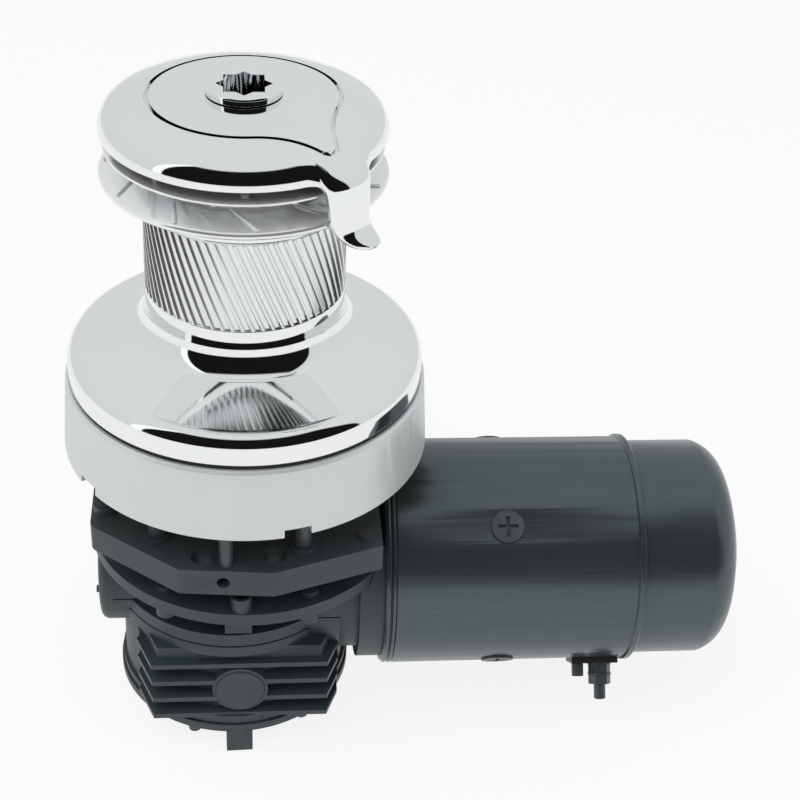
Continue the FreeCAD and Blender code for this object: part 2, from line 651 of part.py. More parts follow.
def jaw_ribs(root, rim, lift, first):
    """Slanted gripping ribs along a jaw face that runs from its root to its rim, the first at an angle."""
    sunk = 0.3 if lift > 0 else -0.3
    ends = []
    for (radius, height), turn in ((root, -JAW_RIB_LEAN / 2), (rim, JAW_RIB_LEAN / 2)):
        middle = Vector(*polar(radius, turn), 0)
        side = Vector(*polar(JAW_RIB_WIDTH / 2, turn + 90.0), 0)
        low = Vector(0, 0, height - sunk)
        high = Vector(0, 0, height + lift)
        ring = [middle - side + low, middle + side + low, middle + side * 0.7 + high, middle - side * 0.7 + high]
        ends.append(Part.makePolygon(ring + [ring[0]]))
    return around(Part.makeLoft(ends, True, True), spaced(JAW_RIBS, first))


def make_jaws():
    """Fixed lower jaw on the drum, sprung upper jaw on its hub, springs, keeper plate and screws."""
    under = DRUM_TOP
    lower = turned([(JAW_BORE, under), (DRUM_TOP_RADIUS - 1.5, under), (DRUM_TOP_RADIUS, under + 1.6),
                    (JAW_RIM_RADIUS - 1.2, JAW_RIM_Z - JAW_RIM_THICKNESS),
                    ((JAW_RIM_RADIUS, JAW_RIM_Z - JAW_RIM_THICKNESS / 2), (JAW_RIM_RADIUS - 1.2, JAW_RIM_Z)),
                    (JAW_HUB_RADIUS, JAW_ROOT_Z), (JAW_HUB_RADIUS, JAW_HUB_TOP), (JAW_BORE, JAW_HUB_TOP)])
    ribs = jaw_ribs((JAW_HUB_RADIUS + 1, JAW_ROOT_Z - 0.1), (JAW_RIM_RADIUS - 2, JAW_RIM_Z + 0.1),
                    LOWER_RIB_HEIGHT, LOWER_RIB_ANGLE)
    lower = joined([lower] + ribs)
    holes = around(cylinder(JAW_SCREW_RADIUS + SLIP, under, JAW_HUB_TOP, JAW_SCREW_CIRCLE, 0),
                   spaced(JAW_SCREW_COUNT))
    save("lower_jaw", lower.cut(holes))
    bore = JAW_HUB_RADIUS + PLAY
    upper = turned([(bore, UPPER_JAW_ROOT_Z), (UPPER_JAW_RADIUS, UPPER_JAW_RIM_Z),
                    (UPPER_JAW_RADIUS, UPPER_JAW_TOP), (bore, UPPER_JAW_TOP)])
    ribs = jaw_ribs((bore + 2, UPPER_JAW_ROOT_Z + 0.9), (UPPER_JAW_RADIUS - 1.2, UPPER_JAW_RIM_Z - 0.6),
                    -UPPER_RIB_HEIGHT, UPPER_RIB_ANGLE)
    pockets = around(cylinder(JAW_SPRING_RADIUS + SLIP, JAW_SPRING_FLOOR, UPPER_JAW_TOP, JAW_SPRING_CIRCLE, 0),
                     spaced(JAW_SPRING_COUNT))
    save("upper_jaw", joined([upper] + ribs).cut(pockets))
    spring = tube(JAW_SPRING_RADIUS, JAW_SPRING_RADIUS - 0.7, JAW_SPRING_FLOOR, JAW_HUB_TOP)
    spring.translate(Vector(JAW_SPRING_CIRCLE, 0, 0))
    save("jaw_springs", Part.makeCompound(around(spring, spaced(JAW_SPRING_COUNT))))
    top = JAW_HUB_TOP + KEEPER_THICKNESS
    keeper = tube(JAW_SPRING_CIRCLE + 4.5, JAW_BORE, JAW_HUB_TOP, top)
    holes = around(cylinder(JAW_SCREW_RADIUS + SLIP, JAW_HUB_TOP, top, JAW_SCREW_CIRCLE, 0),
                   spaced(JAW_SCREW_COUNT))
    save("jaw_keeper", keeper.cut(holes))
    screw = cylinder(JAW_SCREW_RADIUS, DRUM_TOP - 7, top, JAW_SCREW_CIRCLE, 0)
    save("jaw_screws", Part.makeCompound(around(screw, spaced(JAW_SCREW_COUNT))))


def dome_outline():
    """Steps of the arm's domed top from the rim to the middle."""
    return [(ARM_RADIUS, DOME_EDGE_Z), DOME_SHOULDER, DOME_SLOPE, DOME_CROWN]


def teardrop(grow):
    """Outline of the inset cover: a circle drawn out to a rounded tip through two hollow flanks."""
    tip_angle = math.degrees(math.atan2(COVER_TIP[1], COVER_TIP[0]))
    tip_distance = math.hypot(*COVER_TIP)
    big = COVER_RADIUS + grow
    small = COVER_TIP_RADIUS + grow

    def place(forward, side):
        turn = math.radians(tip_angle)
        return (forward * math.cos(turn) - side * math.sin(turn), forward * math.sin(turn) + side * math.cos(turn))
    spread = 36.0
    start = polar(big, spread)
    tip_side = 40.0
    near = (tip_distance - COVER_TIP_RADIUS + small * math.cos(math.radians(90 - tip_side)),
            small * math.sin(math.radians(90 - tip_side)))
    hollow = ((start[0] + near[0]) / 2 - 0.4, (start[1] + near[1]) / 2 - 2.4)
    return [place(*start), (place(-big, 0), place(start[0], -start[1])),
            (place(hollow[0], -hollow[1]), place(near[0], -near[1])),
            (place(tip_distance - COVER_TIP_RADIUS + small, 0), place(*near)),
            (place(*hollow), place(*start))]


def spout_section(level, inner, outer, start, end):
    """Level outline of the line guide: hollow towards the jaws, bulging outwards, with rounded sides."""
    middle = (start + end) / 2
    bulge = inner + (outer - inner) * 0.55
    corners = [polar(inner, start), polar(inner, middle), polar(inner, end), polar(bulge, end + 1.0),
               polar(outer, (middle + end) / 2), polar(outer, middle), polar(bulge, start - 1.0)]
    curve = Part.BSplineCurve()
    curve.interpolate([Vector(x, y, level) for x, y in corners], PeriodicFlag=True)
    return Part.Wire([curve.toShape()])


def spout():
    """Line guide that drops from the arm's rim outside the jaws and flares out at its foot."""
    inner = ARM_RADIUS + SPOUT_GAP
    rows = [(SPOUT_TOP, ARM_RADIUS - 9.0, ARM_RADIUS - 3.0, -10.5, 10.5),
            (SPOUT_TOP - 5.0, ARM_RADIUS - 6.0, ARM_RADIUS + 5.2, -9.8, 9.8),
            (SPOUT_TOP - 11.0, inner, ARM_RADIUS + 7.4, -8.8, 9.2),
            (SPOUT_TOP - 18.0, inner, ARM_RADIUS + 7.2, -8.4, 8.8),
            (SPOUT_TOP - 25.0, inner, ARM_RADIUS + 7.4, -7.6, 8.8),
            (SPOUT_TOP - 31.0, inner + 1.6, ARM_RADIUS + 9.6, -5.2, 9.2),
            (SPOUT_TOP - 35.0, inner + 5.4, ARM_RADIUS + 12.6, -1.6, 9.6),
            (SPOUT_BOTTOM, inner + 9.0, ARM_RADIUS + 13.4, 1.8, 8.6)]
    wires = [spout_section(level, low, high, SPOUT_ANGLE + start, SPOUT_ANGLE + end)
             for level, low, high, start, end in rows]
    return Part.makeLoft(wires, True, False)


def arm_screw_shapes(grow, low):
    """Screws with sunk heads that hold the arm down on the stem."""
    screws = []
    for angle in spaced(4, 45.0):
        x, y = polar(ARM_SCREW_CIRCLE, angle)
        screws.append(joined([cylinder(ARM_SCREW_RADIUS + grow, low, COVER_FLOOR - 2.0, x, y),
                              cylinder(ARM_SCREW_HEAD + grow, COVER_FLOOR - 2.2 - grow, COVER_FLOOR, x, y)]))
    return screws


def make_arm():
    """Self-tailing arm with its line guide, the inset cover and the screws that hold them."""
    outside = turned([(0, ARM_LOWER), (ARM_RADIUS - ARM_BEVEL, ARM_LOWER), (ARM_RADIUS, ARM_EDGE_Z)]
                     + dome_outline())
    hub = JAW_BORE - 3
    hollow = turned([(hub, ARM_LOWER), (ARM_RADIUS - ARM_WALL, ARM_LOWER), (ARM_RADIUS - ARM_WALL, ARM_HOLLOW_SIDE),
                     ARM_HOLLOW_SLOPE, (hub, ARM_HOLLOW_TOP)])
    floor = COVER_FLOOR
    pocket = plate(teardrop(COVER_GROOVE), floor, SOCKET_TOP)
    bore = cylinder(SOCKET_RADIUS + SOCKET_CLEARANCE, ARM_LOWER, SOCKET_TOP)
    seat = cylinder(STEM_RADIUS + SLIP, ARM_LOWER - 1, STEM_TOP)
    holes = arm_screw_shapes(SLIP, STEM_TOP - 1)
    arm = joined([outside, spout()]).cut([hollow, pocket, bore, seat] + holes)
    save("feeder_arm", arm)
    lid = outside.common(plate(teardrop(0.0), floor, SOCKET_TOP))
    save("arm_cover", lid.cut(bore))
    save("arm_screws", Part.makeCompound(arm_screw_shapes(0.0, STEM_TOP - ARM_SCREW_BITE)))


def make_socket():
    """Handle socket: a collar with an eight-point recess on the top of the main shaft."""
    body = turned([(0, SOCKET_FLOOR), (SOCKET_RADIUS - 2.2, SOCKET_FLOOR), (SOCKET_RADIUS - 2.2, STEM_TOP + 1),
                   (SOCKET_RADIUS, STEM_TOP + 1), (SOCKET_RADIUS, SOCKET_COLLAR_Z),
                   (SOCKET_COLLAR_RADIUS, SOCKET_COLLAR_Z), (SOCKET_COLLAR_RADIUS, SOCKET_TOP - 1.4),
                   ((SOCKET_COLLAR_RADIUS - 0.5, SOCKET_TOP - 0.3), (SOCKET_COLLAR_RADIUS - 1.6, SOCKET_TOP)),
                   (0, SOCKET_TOP)])
    half = SOCKET_SQUARE / 2
    square = block(-half, half, -half, half, SOCKET_FLOOR + 4, SOCKET_TOP + 1)
    save("handle_socket", body.cut(around(square, [0.0, 45.0])))


def bracket_outline():
    """Outline of the under-deck bracket: straight-sided, cut off beside the motor, alike front and rear."""
    front = [BRACKET_LEFT, BRACKET_SLANT, (BRACKET_POINT_X, -BRACKET_FRONT), (BRACKET_RIGHT, BRACKET_CUT_Y)]
    rear = [(x, -y) for x, y in reversed(front)]
    return front + rear


def make_bracket():
    """Bracket plate under the deck with stud bosses, wiring holes, ears and locating posts."""
    body = plate(bracket_outline(), BRACKET_BOTTOM, BRACKET_TOP)
    corners = [e for e in body.Edges if e.BoundBox.ZLength > 5 and e.BoundBox.XMin < BRACKET_RIGHT - 1]
    body = body.makeFillet(BRACKET_CORNER_RADIUS, corners)
    raised = []
    for angle in spaced(STUD_COUNT, STUD_ANGLE):
        x, y = polar(STUD_CIRCLE / 2, angle)
        if x < BRACKET_RIGHT:
            raised.append(cylinder(STUD_ROOT + STUD_BOSS_WALL, BRACKET_TOP - 1, BRACKET_TOP + STUD_BOSS_HEIGHT, x, y))
    ears = [cylinder(EAR_RADIUS, BRACKET_TOP - 1, BRACKET_TOP + 4.5, EAR_PLACE[0], side * EAR_PLACE[1])
            for side in (-1, 1)]
    body = joined([body] + raised + ears)
    cuts = [cylinder(SHAFT_RADIUS + 5.5, BRACKET_BOTTOM - 1, BRACKET_TOP + 1)]
    for side in (-1, 1):
        for step in (-1, 1):
            x = step * BRACKET_HOLE_X - side * BRACKET_HOLE_MIDDLE
            cuts.append(cylinder(BRACKET_HOLE_RADIUS, BRACKET_BOTTOM - 1, BRACKET_TOP + 1, x, side * BRACKET_HOLE_Y))
        for x, y in (EAR_PLACE, CORNER_SCREW_PLACE):
            cuts.append(cylinder(BRACKET_SCREW_RADIUS + SLIP, BRACKET_BOTTOM, BRACKET_TOP + 5, x, side * y))
    cuts += locating_post_shapes(SLIP)
    cuts += around(cylinder(STUD_ROOT + SLIP, BRACKET_TOP - STUD_BITE, BRACKET_TOP + STUD_BOSS_HEIGHT + 1,
                            STUD_CIRCLE / 2, 0), spaced(STUD_COUNT, STUD_ANGLE))
    cuts.append(Part.makeCylinder(BRACKET_BORE_RADIUS, BRACKET_BORE_DEPTH + 1,
                                  Vector(BRACKET_BORE_X, -BRACKET_FRONT - 1, BRACKET_BORE_Z), Vector(0, 1, 0)))
    save("mount_bracket", body.cut(cuts))
    save("locating_posts", Part.makeCompound(locating_post_shapes(0)))
    screws = []
    for side in (-1, 1):
        for (x, y), top in ((EAR_PLACE, BRACKET_TOP + 4.5), (CORNER_SCREW_PLACE, BRACKET_TOP)):
            shank = cylinder(BRACKET_SCREW_RADIUS, BRACKET_BOTTOM + 0.5, top, x, side * y)
            head = cylinder(1.6 * BRACKET_SCREW_RADIUS, top, top + 1.6, x, side * y)
            screws.append(joined([shank, head]))
    save("bracket_screws", Part.makeCompound(screws))


def gear_cavities():
    """Room inside the gearbox for the worm, wheel, spur pair, shafts and bearings."""
    x, y = WHEEL_PLACE
    wheel_tip = WHEEL_PITCH_RADIUS + WORM_MODULE
    spur_low = SPUR_Z - 1.0
    spur_high = SPUR_Z + SPUR_FACE + 1.0
    return [lying(WORM_BEARING_RADIUS + SLIP, WORM_CAP_START, ADAPTER_FLANGE_X),
            cylinder(wheel_tip + 1.0, MOTOR_Z - WHEEL_FACE / 2 - 1, MOTOR_Z + WHEEL_FACE / 2 + 1, x, y),
            cylinder(PINION_RADIUS + 3, MOTOR_Z, spur_high, x, y),
            cylinder(OUTPUT_RADIUS + 2.4, spur_low, spur_high),
            cylinder(OUTPUT_BEARING_RADIUS + SLIP, spur_high - 1, BRACKET_BOTTOM),
            cylinder(WHEEL_BEARING_RADIUS + SLIP, spur_high - 1, spur_high + WHEEL_BEARING_LENGTH, x, y),
            cylinder(WHEEL_BEARING_RADIUS + SLIP, MOTOR_Z - WHEEL_FACE / 2 - 1 - WHEEL_BEARING_LENGTH,
                     MOTOR_Z - WHEEL_FACE / 2, x, y)]


def side_bosses(clip_low, clip_high):
    """Round bosses about the motor axis that carry the worm's end cap and the motor adapter."""
    left = lying(WORM_CAP_RADIUS, WORM_CAP_START, GEARBOX_X - 20)
    right = lying(ADAPTER_RADIUS, GEARBOX_X + 20, ADAPTER_START)
    slab = block(-200, 200, -100, 100, clip_low, clip_high)
    return [left.common(slab), right.common(slab)]


def make_gearbox_top():
    """Upper half of the gearbox: neck, wide thin flange with its bosses, and the front tab."""
    body = joined([cylinder(NECK_RADIUS, FLANGE_TOP, BRACKET_BOTTOM),
                   cylinder(FLANGE_RADIUS, FLANGE_BOTTOM, FLANGE_TOP).common(
                       block(-74, BRACKET_RIGHT, -100, 100, FLANGE_BOTTOM, FLANGE_TOP)),
                   cylinder(LOWER_NECK_RADIUS, SPLIT_Z + SEAL, FLANGE_BOTTOM, GEARBOX_X, 0),
                   cylinder(TONGUE_BOSS_RADIUS, FLANGE_TOP, FLANGE_TOP + TONGUE_HEIGHT, TONGUE_X,
                            TONGUE_INSET - FLANGE_RADIUS),
                   block(FOOT_X - FOOT_WIDTH / 2, FOOT_X + FOOT_WIDTH / 2, -CASE_RING_RADIUS + 0.5, -40,
                         SPLIT_Z + SEAL, FLANGE_BOTTOM)]
                  + around(cylinder(FLANGE_BOSS_RADIUS, FLANGE_BOTTOM - FLANGE_BOSS_DROP, FLANGE_BOTTOM,
                                    FLANGE_BOLT_CIRCLE, 0), boss_angles())
                  + side_bosses(SPLIT_Z + SEAL, FLANGE_BOTTOM))
    cuts = gear_cavities() + [cylinder(TONGUE_BORE, FLANGE_TOP, FLANGE_TOP + TONGUE_HEIGHT + 1, TONGUE_X,
                                       TONGUE_INSET - FLANGE_RADIUS)]
    cuts += around(cylinder(FLANGE_BOLT_RADIUS + SLIP, FLANGE_BOTTOM - FLANGE_BOSS_DROP, FLANGE_TOP,
                            FLANGE_BOLT_CIRCLE, 0), boss_angles())
    cuts += case_bolts(SLIP) + cap_screws(SLIP)
    save("gearbox_top", body.cut(cuts))
    bolt = joined([cylinder(FLANGE_BOLT_RADIUS, FLANGE_BOTTOM - FLANGE_BOSS_DROP, FLANGE_TOP, FLANGE_BOLT_CIRCLE, 0),
                   cylinder(1.7 * FLANGE_BOLT_RADIUS, FLANGE_TOP, FLANGE_TOP + 3, FLANGE_BOLT_CIRCLE, 0)])
    return around(bolt, boss_angles())


def boss_angles():
    """Places of the flange bosses, leaving out those that the motor side has no room for."""
    return [a for a in spaced(6, FLANGE_BOLT_ANGLE) if FLANGE_BOLT_CIRCLE * math.cos(math.radians(a)) < 40
            and FLANGE_BOLT_CIRCLE * math.cos(math.radians(a)) > -60]


def case_bolts(grow):
    """Long bolts that clamp the two gearbox halves, from the case's bottom up into the top half."""
    bolts = []
    for x in (-CASE_BOLT_X, CASE_BOLT_X):
        for y in (-CASE_BOLT_Y, CASE_BOLT_Y):
            bolts.append(cylinder(CASE_BOLT_RADIUS + grow, SPLIT_Z - 12, SPLIT_Z + 12, GEARBOX_X + x, y))
    return bolts


def fin_outline(front, half):
    """Outline of one cooling fin: flat front, slanted sides running back onto the case."""
    x = PLUG_X
    return [(x - half, -front), (x + half, -front), (x + half + 8, -front + 20), (x + half - 6, -10),
            (x - half + 6, -10), (x - half - 8, -front + 20)]


def make_gear_case():
    """Lower half of the gearbox with its rim, cooling fins, plug boss and bottom ring."""
    x = GEARBOX_X
    parts = [cylinder(CASE_RING_RADIUS, SPLIT_Z - CASE_RING_HEIGHT, SPLIT_Z, x, 0),
             cylinder(CASE_RADIUS - 3.5, CASE_BOTTOM, SPLIT_Z, x, 0),
             cylinder(CASE_RING_RADIUS - 1, CASE_BOTTOM, CASE_BOTTOM + 4.5, x, 0)]
    groove = tube(CASE_RING_RADIUS + 1, CASE_RING_RADIUS - 0.9, SPLIT_Z - 8, SPLIT_Z - 7, x, 0)
    side = cylinder(CASE_RADIUS, CASE_BOTTOM, SPLIT_Z - CASE_RING_HEIGHT, x, 0)
    side = side.cut(block(-200, 200, -200, -30, CASE_BOTTOM, SPLIT_Z))
    parts.append(side)
    for k in range(FIN_COUNT):
        top = FIN_TOP - k * FIN_PITCH
        parts.append(plate(fin_outline(FIN_FRONT, FIN_HALF_WIDTH), top - FIN_THICKNESS, top))
    parts.append(plate(fin_outline(FIN_FRONT - 4, FIN_HALF_WIDTH - 3), FIN_TOP, SPLIT_Z - CASE_RING_HEIGHT + 1))
    parts.append(Part.makeCylinder(PLUG_RADIUS + 1.6, FIN_FRONT - 20, Vector(PLUG_X, -20, PLUG_Z), Vector(0, -1, 0)))
    room = block(ADAPTER_START - PLAY, 100, -100, 0, CASE_BOTTOM, SPLIT_Z - CASE_RING_HEIGHT + 1)
    room = room.cut(cylinder(CASE_RING_RADIUS, CASE_BOTTOM, SPLIT_Z, x, 0))
    body = joined([part.cut(room) for part in parts] + side_bosses(CASE_BOTTOM, SPLIT_Z))
    sump = cylinder(SUMP_RADIUS, CASE_BOTTOM, SUMP_TOP, x, 0)
    plug_hole = Part.makeCylinder(PLUG_RADIUS - 2.4, 30, Vector(PLUG_X, -30, PLUG_Z), Vector(0, -1, 0))
    seat = Part.makeCylinder(PLUG_RADIUS + SLIP, 5, Vector(PLUG_X, -FIN_FRONT + 2.6, PLUG_Z), Vector(0, -1, 0))
    cuts = gear_cavities() + case_bolts(SLIP) + [groove, sump, plug_hole, seat]
    cuts += bottom_bolts(SLIP, CASE_BOTTOM, CASE_BOTTOM + 4) + cap_screws(SLIP)
    save("gear_case", body.cut(cuts))
    plug = joined([Part.makeCylinder(PLUG_RADIUS, 3.2, Vector(PLUG_X, -FIN_FRONT + 2.6, PLUG_Z), Vector(0, -1, 0)),
                   Part.makeCylinder(PLUG_RADIUS - 2.5, 6, Vector(PLUG_X, -FIN_FRONT + 8, PLUG_Z), Vector(0, -1, 0))])
    save("case_plug", plug)
    seal = tube(LOWER_NECK_RADIUS, LOWER_NECK_RADIUS - 3, SPLIT_Z, SPLIT_Z + SEAL, x, 0)
    return seal.cut(gear_cavities() + case_bolts(SLIP))


def bottom_bolts(grow, low, high):
    """Shanks of the bottom cover's bolts."""
    places = [polar(BOTTOM_BOLT_CIRCLE, a) for a in spaced(COVER_BOLT_COUNT, BOTTOM_BOLT_ANGLE)]
    return [cylinder(COVER_BOLT_RADIUS + grow, low, high, GEARBOX_X + x, y) for x, y in places]


def make_bottom_cover():
    """Round cover under the sump with hanging feet, its gasket and bolts."""
    x = GEARBOX_X
    low = COVER_BOTTOM
    high = CASE_BOTTOM - SEAL
    cover = turned([(0, low + 1.5), (CASE_RING_RADIUS - 12, low + 1.5), (CASE_RING_RADIUS - 9, low),
                    (CASE_RING_RADIUS - 1.5, low), (CASE_RING_RADIUS, low + 1.5), (CASE_RING_RADIUS, high), (0, high)])
    foot = block(CASE_RING_RADIUS - 9, CASE_RING_RADIUS, -FOOT_WIDTH / 2, FOOT_WIDTH / 2, low - FOOT_DROP, low + 2)
    cover = joined([cover] + around(foot, [FOOT_ANGLE, FOOT_ANGLE + 120, FOOT_ANGLE + 240]))
    cover.translate(Vector(x, 0, 0))
    save("bottom_cover", cover.cut(bottom_bolts(SLIP, low - 1, high + 1)))
    gasket = tube(CASE_RING_RADIUS - 1, SUMP_RADIUS, high, CASE_BOTTOM, x, 0)
    gasket = gasket.cut(bottom_bolts(SLIP, high, CASE_BOTTOM))
    heads = [polar(BOTTOM_BOLT_CIRCLE, a) for a in spaced(COVER_BOLT_COUNT, BOTTOM_BOLT_ANGLE)]
    shanks = bottom_bolts(0, low, CASE_BOTTOM + 3.5)
    bolts = [joined([shank, cylinder(2 * COVER_BOLT_RADIUS, low - 3, low, x + hx, hy)])
             for shank, (hx, hy) in zip(shanks, heads)]
    return gasket, bolts


def worm_thread(low, high):
    """Single-start worm: a trapezoid thread carried along a helix and joined to its core."""
    lead = math.pi * WORM_MODULE
    root = WORM_PITCH_RADIUS - 1.15 * WORM_MODULE
    tip = WORM_PITCH_RADIUS + 0.9 * WORM_MODULE
    half = lead / 4 - BACKLASH
    slope = math.tan(math.radians(20.0))
    wide = half + (WORM_PITCH_RADIUS - root + 0.3) * slope
    thin = half - (tip - WORM_PITCH_RADIUS) * slope
    helix = Part.makeHelix(lead, high - low, WORM_PITCH_RADIUS)
    section = Part.makePolygon([Vector(root - 0.3, 0, -wide), Vector(tip, 0, -thin), Vector(tip, 0, thin),
                                Vector(root - 0.3, 0, wide), Vector(root - 0.3, 0, -wide)])
    thread = Part.Wire(helix).makePipeShell([section], True, True)
    thread.rotate(Vector(0, 0, 0), Vector(0, 1, 0), 90)
    thread.translate(Vector(low, 0, MOTOR_Z))
    return thread, root


def make_worm_drive():
    """Worm wheel and pinion on their upright shaft, output gear with its roller clutch, bearings."""
    x, y = WHEEL_PLACE
    low = MOTOR_Z - WHEEL_FACE / 2
    high = MOTOR_Z + WHEEL_FACE / 2
    lean = math.degrees(WORM_MODULE / 2 / WORM_PITCH_RADIUS)
    twist = math.degrees(WHEEL_FACE * math.tan(math.radians(lean)) / WHEEL_PITCH_RADIUS)
    wires = []
    for z, turn in ((low, -twist / 2), (high, twist / 2)):
        points = gear_outline(WORM_MODULE, WHEEL_TEETH, math.pi / 2 + math.radians(turn), thinning=WHEEL_BACKLASH)
        points = [Vector(px, py, z) for px, py in points]
        wires.append(Part.makePolygon(points + [points[0]]))
    wheel = Part.makeLoft(wires, True, True)
    throat = lying(WORM_PITCH_RADIUS + 1.0 * WORM_MODULE + PLAY, -40, 40, WHEEL_DISTANCE, MOTOR_Z)
    wheel = wheel.cut([throat, cylinder(WHEEL_SHAFT_RADIUS + SLIP / 2, low, high)])
    wheel.translate(Vector(x, y, 0))
    save("worm_wheel", wheel)
    spur_top = SPUR_Z + SPUR_FACE
    line = math.atan2(-y, -x)
    pinion = toothed(gear_outline(SPUR_MODULE, PINION_TEETH, 0.0), SPUR_Z, spur_top, x, y)
    save("pinion", pinion.cut(cylinder(WHEEL_SHAFT_RADIUS + SLIP / 2, SPUR_Z, spur_top, x, y)))
    bearing_low = low - 1 - WHEEL_BEARING_LENGTH
    shaft_top = spur_top + 1 + WHEEL_BEARING_LENGTH - PLAY
    save("wheel_shaft", joined([cylinder(WHEEL_SHAFT_RADIUS, bearing_low + PLAY, shaft_top, x, y),
                                cylinder(WHEEL_SHAFT_RADIUS + 2, high, SPUR_Z, x, y)]))
    rings = [tube(WHEEL_BEARING_RADIUS, WHEEL_SHAFT_RADIUS + RUN, z, z + WHEEL_BEARING_LENGTH - 1, x, y)
             for z in (bearing_low, spur_top + 1.5)]
    rings.append(tube(OUTPUT_BEARING_RADIUS, OUTPUT_HUB_RADIUS + RUN, spur_top + 1, spur_top + 9))
    rings.append(lying_tube(WORM_BEARING_RADIUS, MOTOR_SHAFT_RADIUS + RUN, WORM_CAP_START, WORM_CAP_START + 7))
    save("gearbox_bearings", Part.makeCompound(rings))
    phase = meshed_phase(0.0, PINION_TEETH, OUTPUT_TEETH, line)
    gear = toothed(gear_outline(SPUR_MODULE, OUTPUT_TEETH, phase), SPUR_Z, spur_top)
    hub = cylinder(OUTPUT_HUB_RADIUS, spur_top, spur_top + 10)
    race = CLUTCH_RACE_RADIUS + 2 * CLUTCH_ROLLER_RADIUS + 2 * RUN
    gear = joined([gear, hub]).cut([cylinder(race, SPUR_Z, spur_top),
                                    cylinder(CLUTCH_RACE_RADIUS + 1.2, spur_top, spur_top + 10)])
    save("output_gear", gear)
    roller = cylinder(CLUTCH_ROLLER_RADIUS, SPUR_Z + 0.5, spur_top - 0.5, CLUTCH_RACE_RADIUS + RUN
                      + CLUTCH_ROLLER_RADIUS, 0)
    save("clutch_rollers", Part.makeCompound(around(roller, spaced(CLUTCH_ROLLER_COUNT))))


def cap_screws(grow):
    """Shanks of the worm end cap's screws, at its sides and its foot."""
    shank = lying(CAP_SCREW_RADIUS + grow, WORM_CAP_END - 1.2, WORM_CAP_START + 8, 0, MOTOR_Z + CAP_SCREW_CIRCLE)
    return around_x(shank, [90.0, 180.0, 270.0])


def make_worm_ends():
    """Worm end cap with its bearing, and the adapter that carries the motor and its front bearing."""
    cap = turned_x([(WORM_CAP_END, 0), (WORM_CAP_END, WORM_CAP_RADIUS - 4),
                    ((WORM_CAP_END + 1.2, WORM_CAP_RADIUS - 1.2), (WORM_CAP_END + 4, WORM_CAP_RADIUS)),
                    (WORM_CAP_START, WORM_CAP_RADIUS), (WORM_CAP_START, 0)])
    seat = lying(WORM_BEARING_RADIUS - 1.5, WORM_CAP_START - 2, WORM_CAP_START)
    above = block(WORM_CAP_END - 1, WORM_CAP_START + 1, -60, 60, FLANGE_BOTTOM - PLAY, 0)
    save("worm_end_cap", cap.cut([seat, above] + cap_screws(SLIP)))
    adapter = turned_x([(ADAPTER_START, 0), (ADAPTER_START, ADAPTER_RADIUS), (ADAPTER_FLANGE_X, ADAPTER_RADIUS),
                        (ADAPTER_FLANGE_X, ADAPTER_FLANGE_RADIUS), (ADAPTER_END, ADAPTER_FLANGE_RADIUS),
                        (ADAPTER_END, 0)])
    above = block(ADAPTER_START - 1, ADAPTER_END + 1, -80, 80, BRACKET_BOTTOM - PLAY, 0)
    case_side = cylinder(CASE_RING_RADIUS + PLAY, -160, 0, GEARBOX_X, 0)
    flange_side = cylinder(FLANGE_RADIUS + PLAY, FLANGE_BOTTOM - PLAY, 0)
    adapter = adapter.cut([above, case_side, flange_side])
    seat = lying(BALL_BEARING_RADIUS + SLIP, ADAPTER_END - BALL_BEARING_WIDTH, ADAPTER_END)
    adapter = adapter.cut([seat, lying(MOTOR_SHAFT_RADIUS + 4, ADAPTER_START, ADAPTER_END)])
    save("motor_adapter", adapter)


def make_rotor():
    """Armature shaft with its worm, laminated core with slots, windings and commutator."""
    lead = math.pi * WORM_MODULE
    thread, root = worm_thread(-WORM_HALF_TURNS * lead, WORM_HALF_TURNS * lead)
    reach = WORM_HALF_TURNS * lead + 2
    shaft = joined([lying(MOTOR_SHAFT_RADIUS, WORM_CAP_START + 0.5, END_CAP_INSIDE - 1.5),
                    lying(root, -reach, reach)])
    save("worm_shaft", shaft.fuse(thread))
    core = lying_tube(ARMATURE_RADIUS, MOTOR_SHAFT_RADIUS + SLIP / 2, ARMATURE_START, ARMATURE_END)
    slot = block(ARMATURE_START - 1, ARMATURE_END + 1, -1.4, 1.4, MOTOR_Z + ARMATURE_RADIUS - 10,
                 MOTOR_Z + ARMATURE_RADIUS + 1)
    save("armature_core", core.cut(around_x(slot, spaced(ARMATURE_SLOTS))))
    ends = [turned_x([(ARMATURE_START, 9), (ARMATURE_START, 33), (ARMATURE_START - 5, 33),
                      ((ARMATURE_START - 10, 24), (ARMATURE_START - 8, 14)), (ARMATURE_START - 8, 9)]),
            turned_x([(ARMATURE_END, 9), (ARMATURE_END, 33), (ARMATURE_END + 3, 31), (COMMUTATOR_START, 19),
                      (COMMUTATOR_START, 9)])]
    save("armature_windings", Part.makeCompound(ends))
    bars = lying_tube(COMMUTATOR_RADIUS, MOTOR_SHAFT_RADIUS + SLIP / 2, COMMUTATOR_START,
                      COMMUTATOR_START + COMMUTATOR_LENGTH)
    gap = block(COMMUTATOR_START + 2, COMMUTATOR_START + COMMUTATOR_LENGTH + 1, -0.4, 0.4,
                MOTOR_Z + COMMUTATOR_RADIUS - 1.2, MOTOR_Z + COMMUTATOR_RADIUS + 1)
    save("commutator", bars.cut(around_x(gap, spaced(COMMUTATOR_BARS))))


def radial(radius, low, high, x, angle):
    """Cylinder that points outwards from the motor axis, its angle turned from straight up to the front."""
    post = Part.makeCylinder(radius, high - low, Vector(x, 0, MOTOR_Z + low))
    post.rotate(Vector(0, 0, MOTOR_Z), Vector(1, 0, 0), angle)
    return post


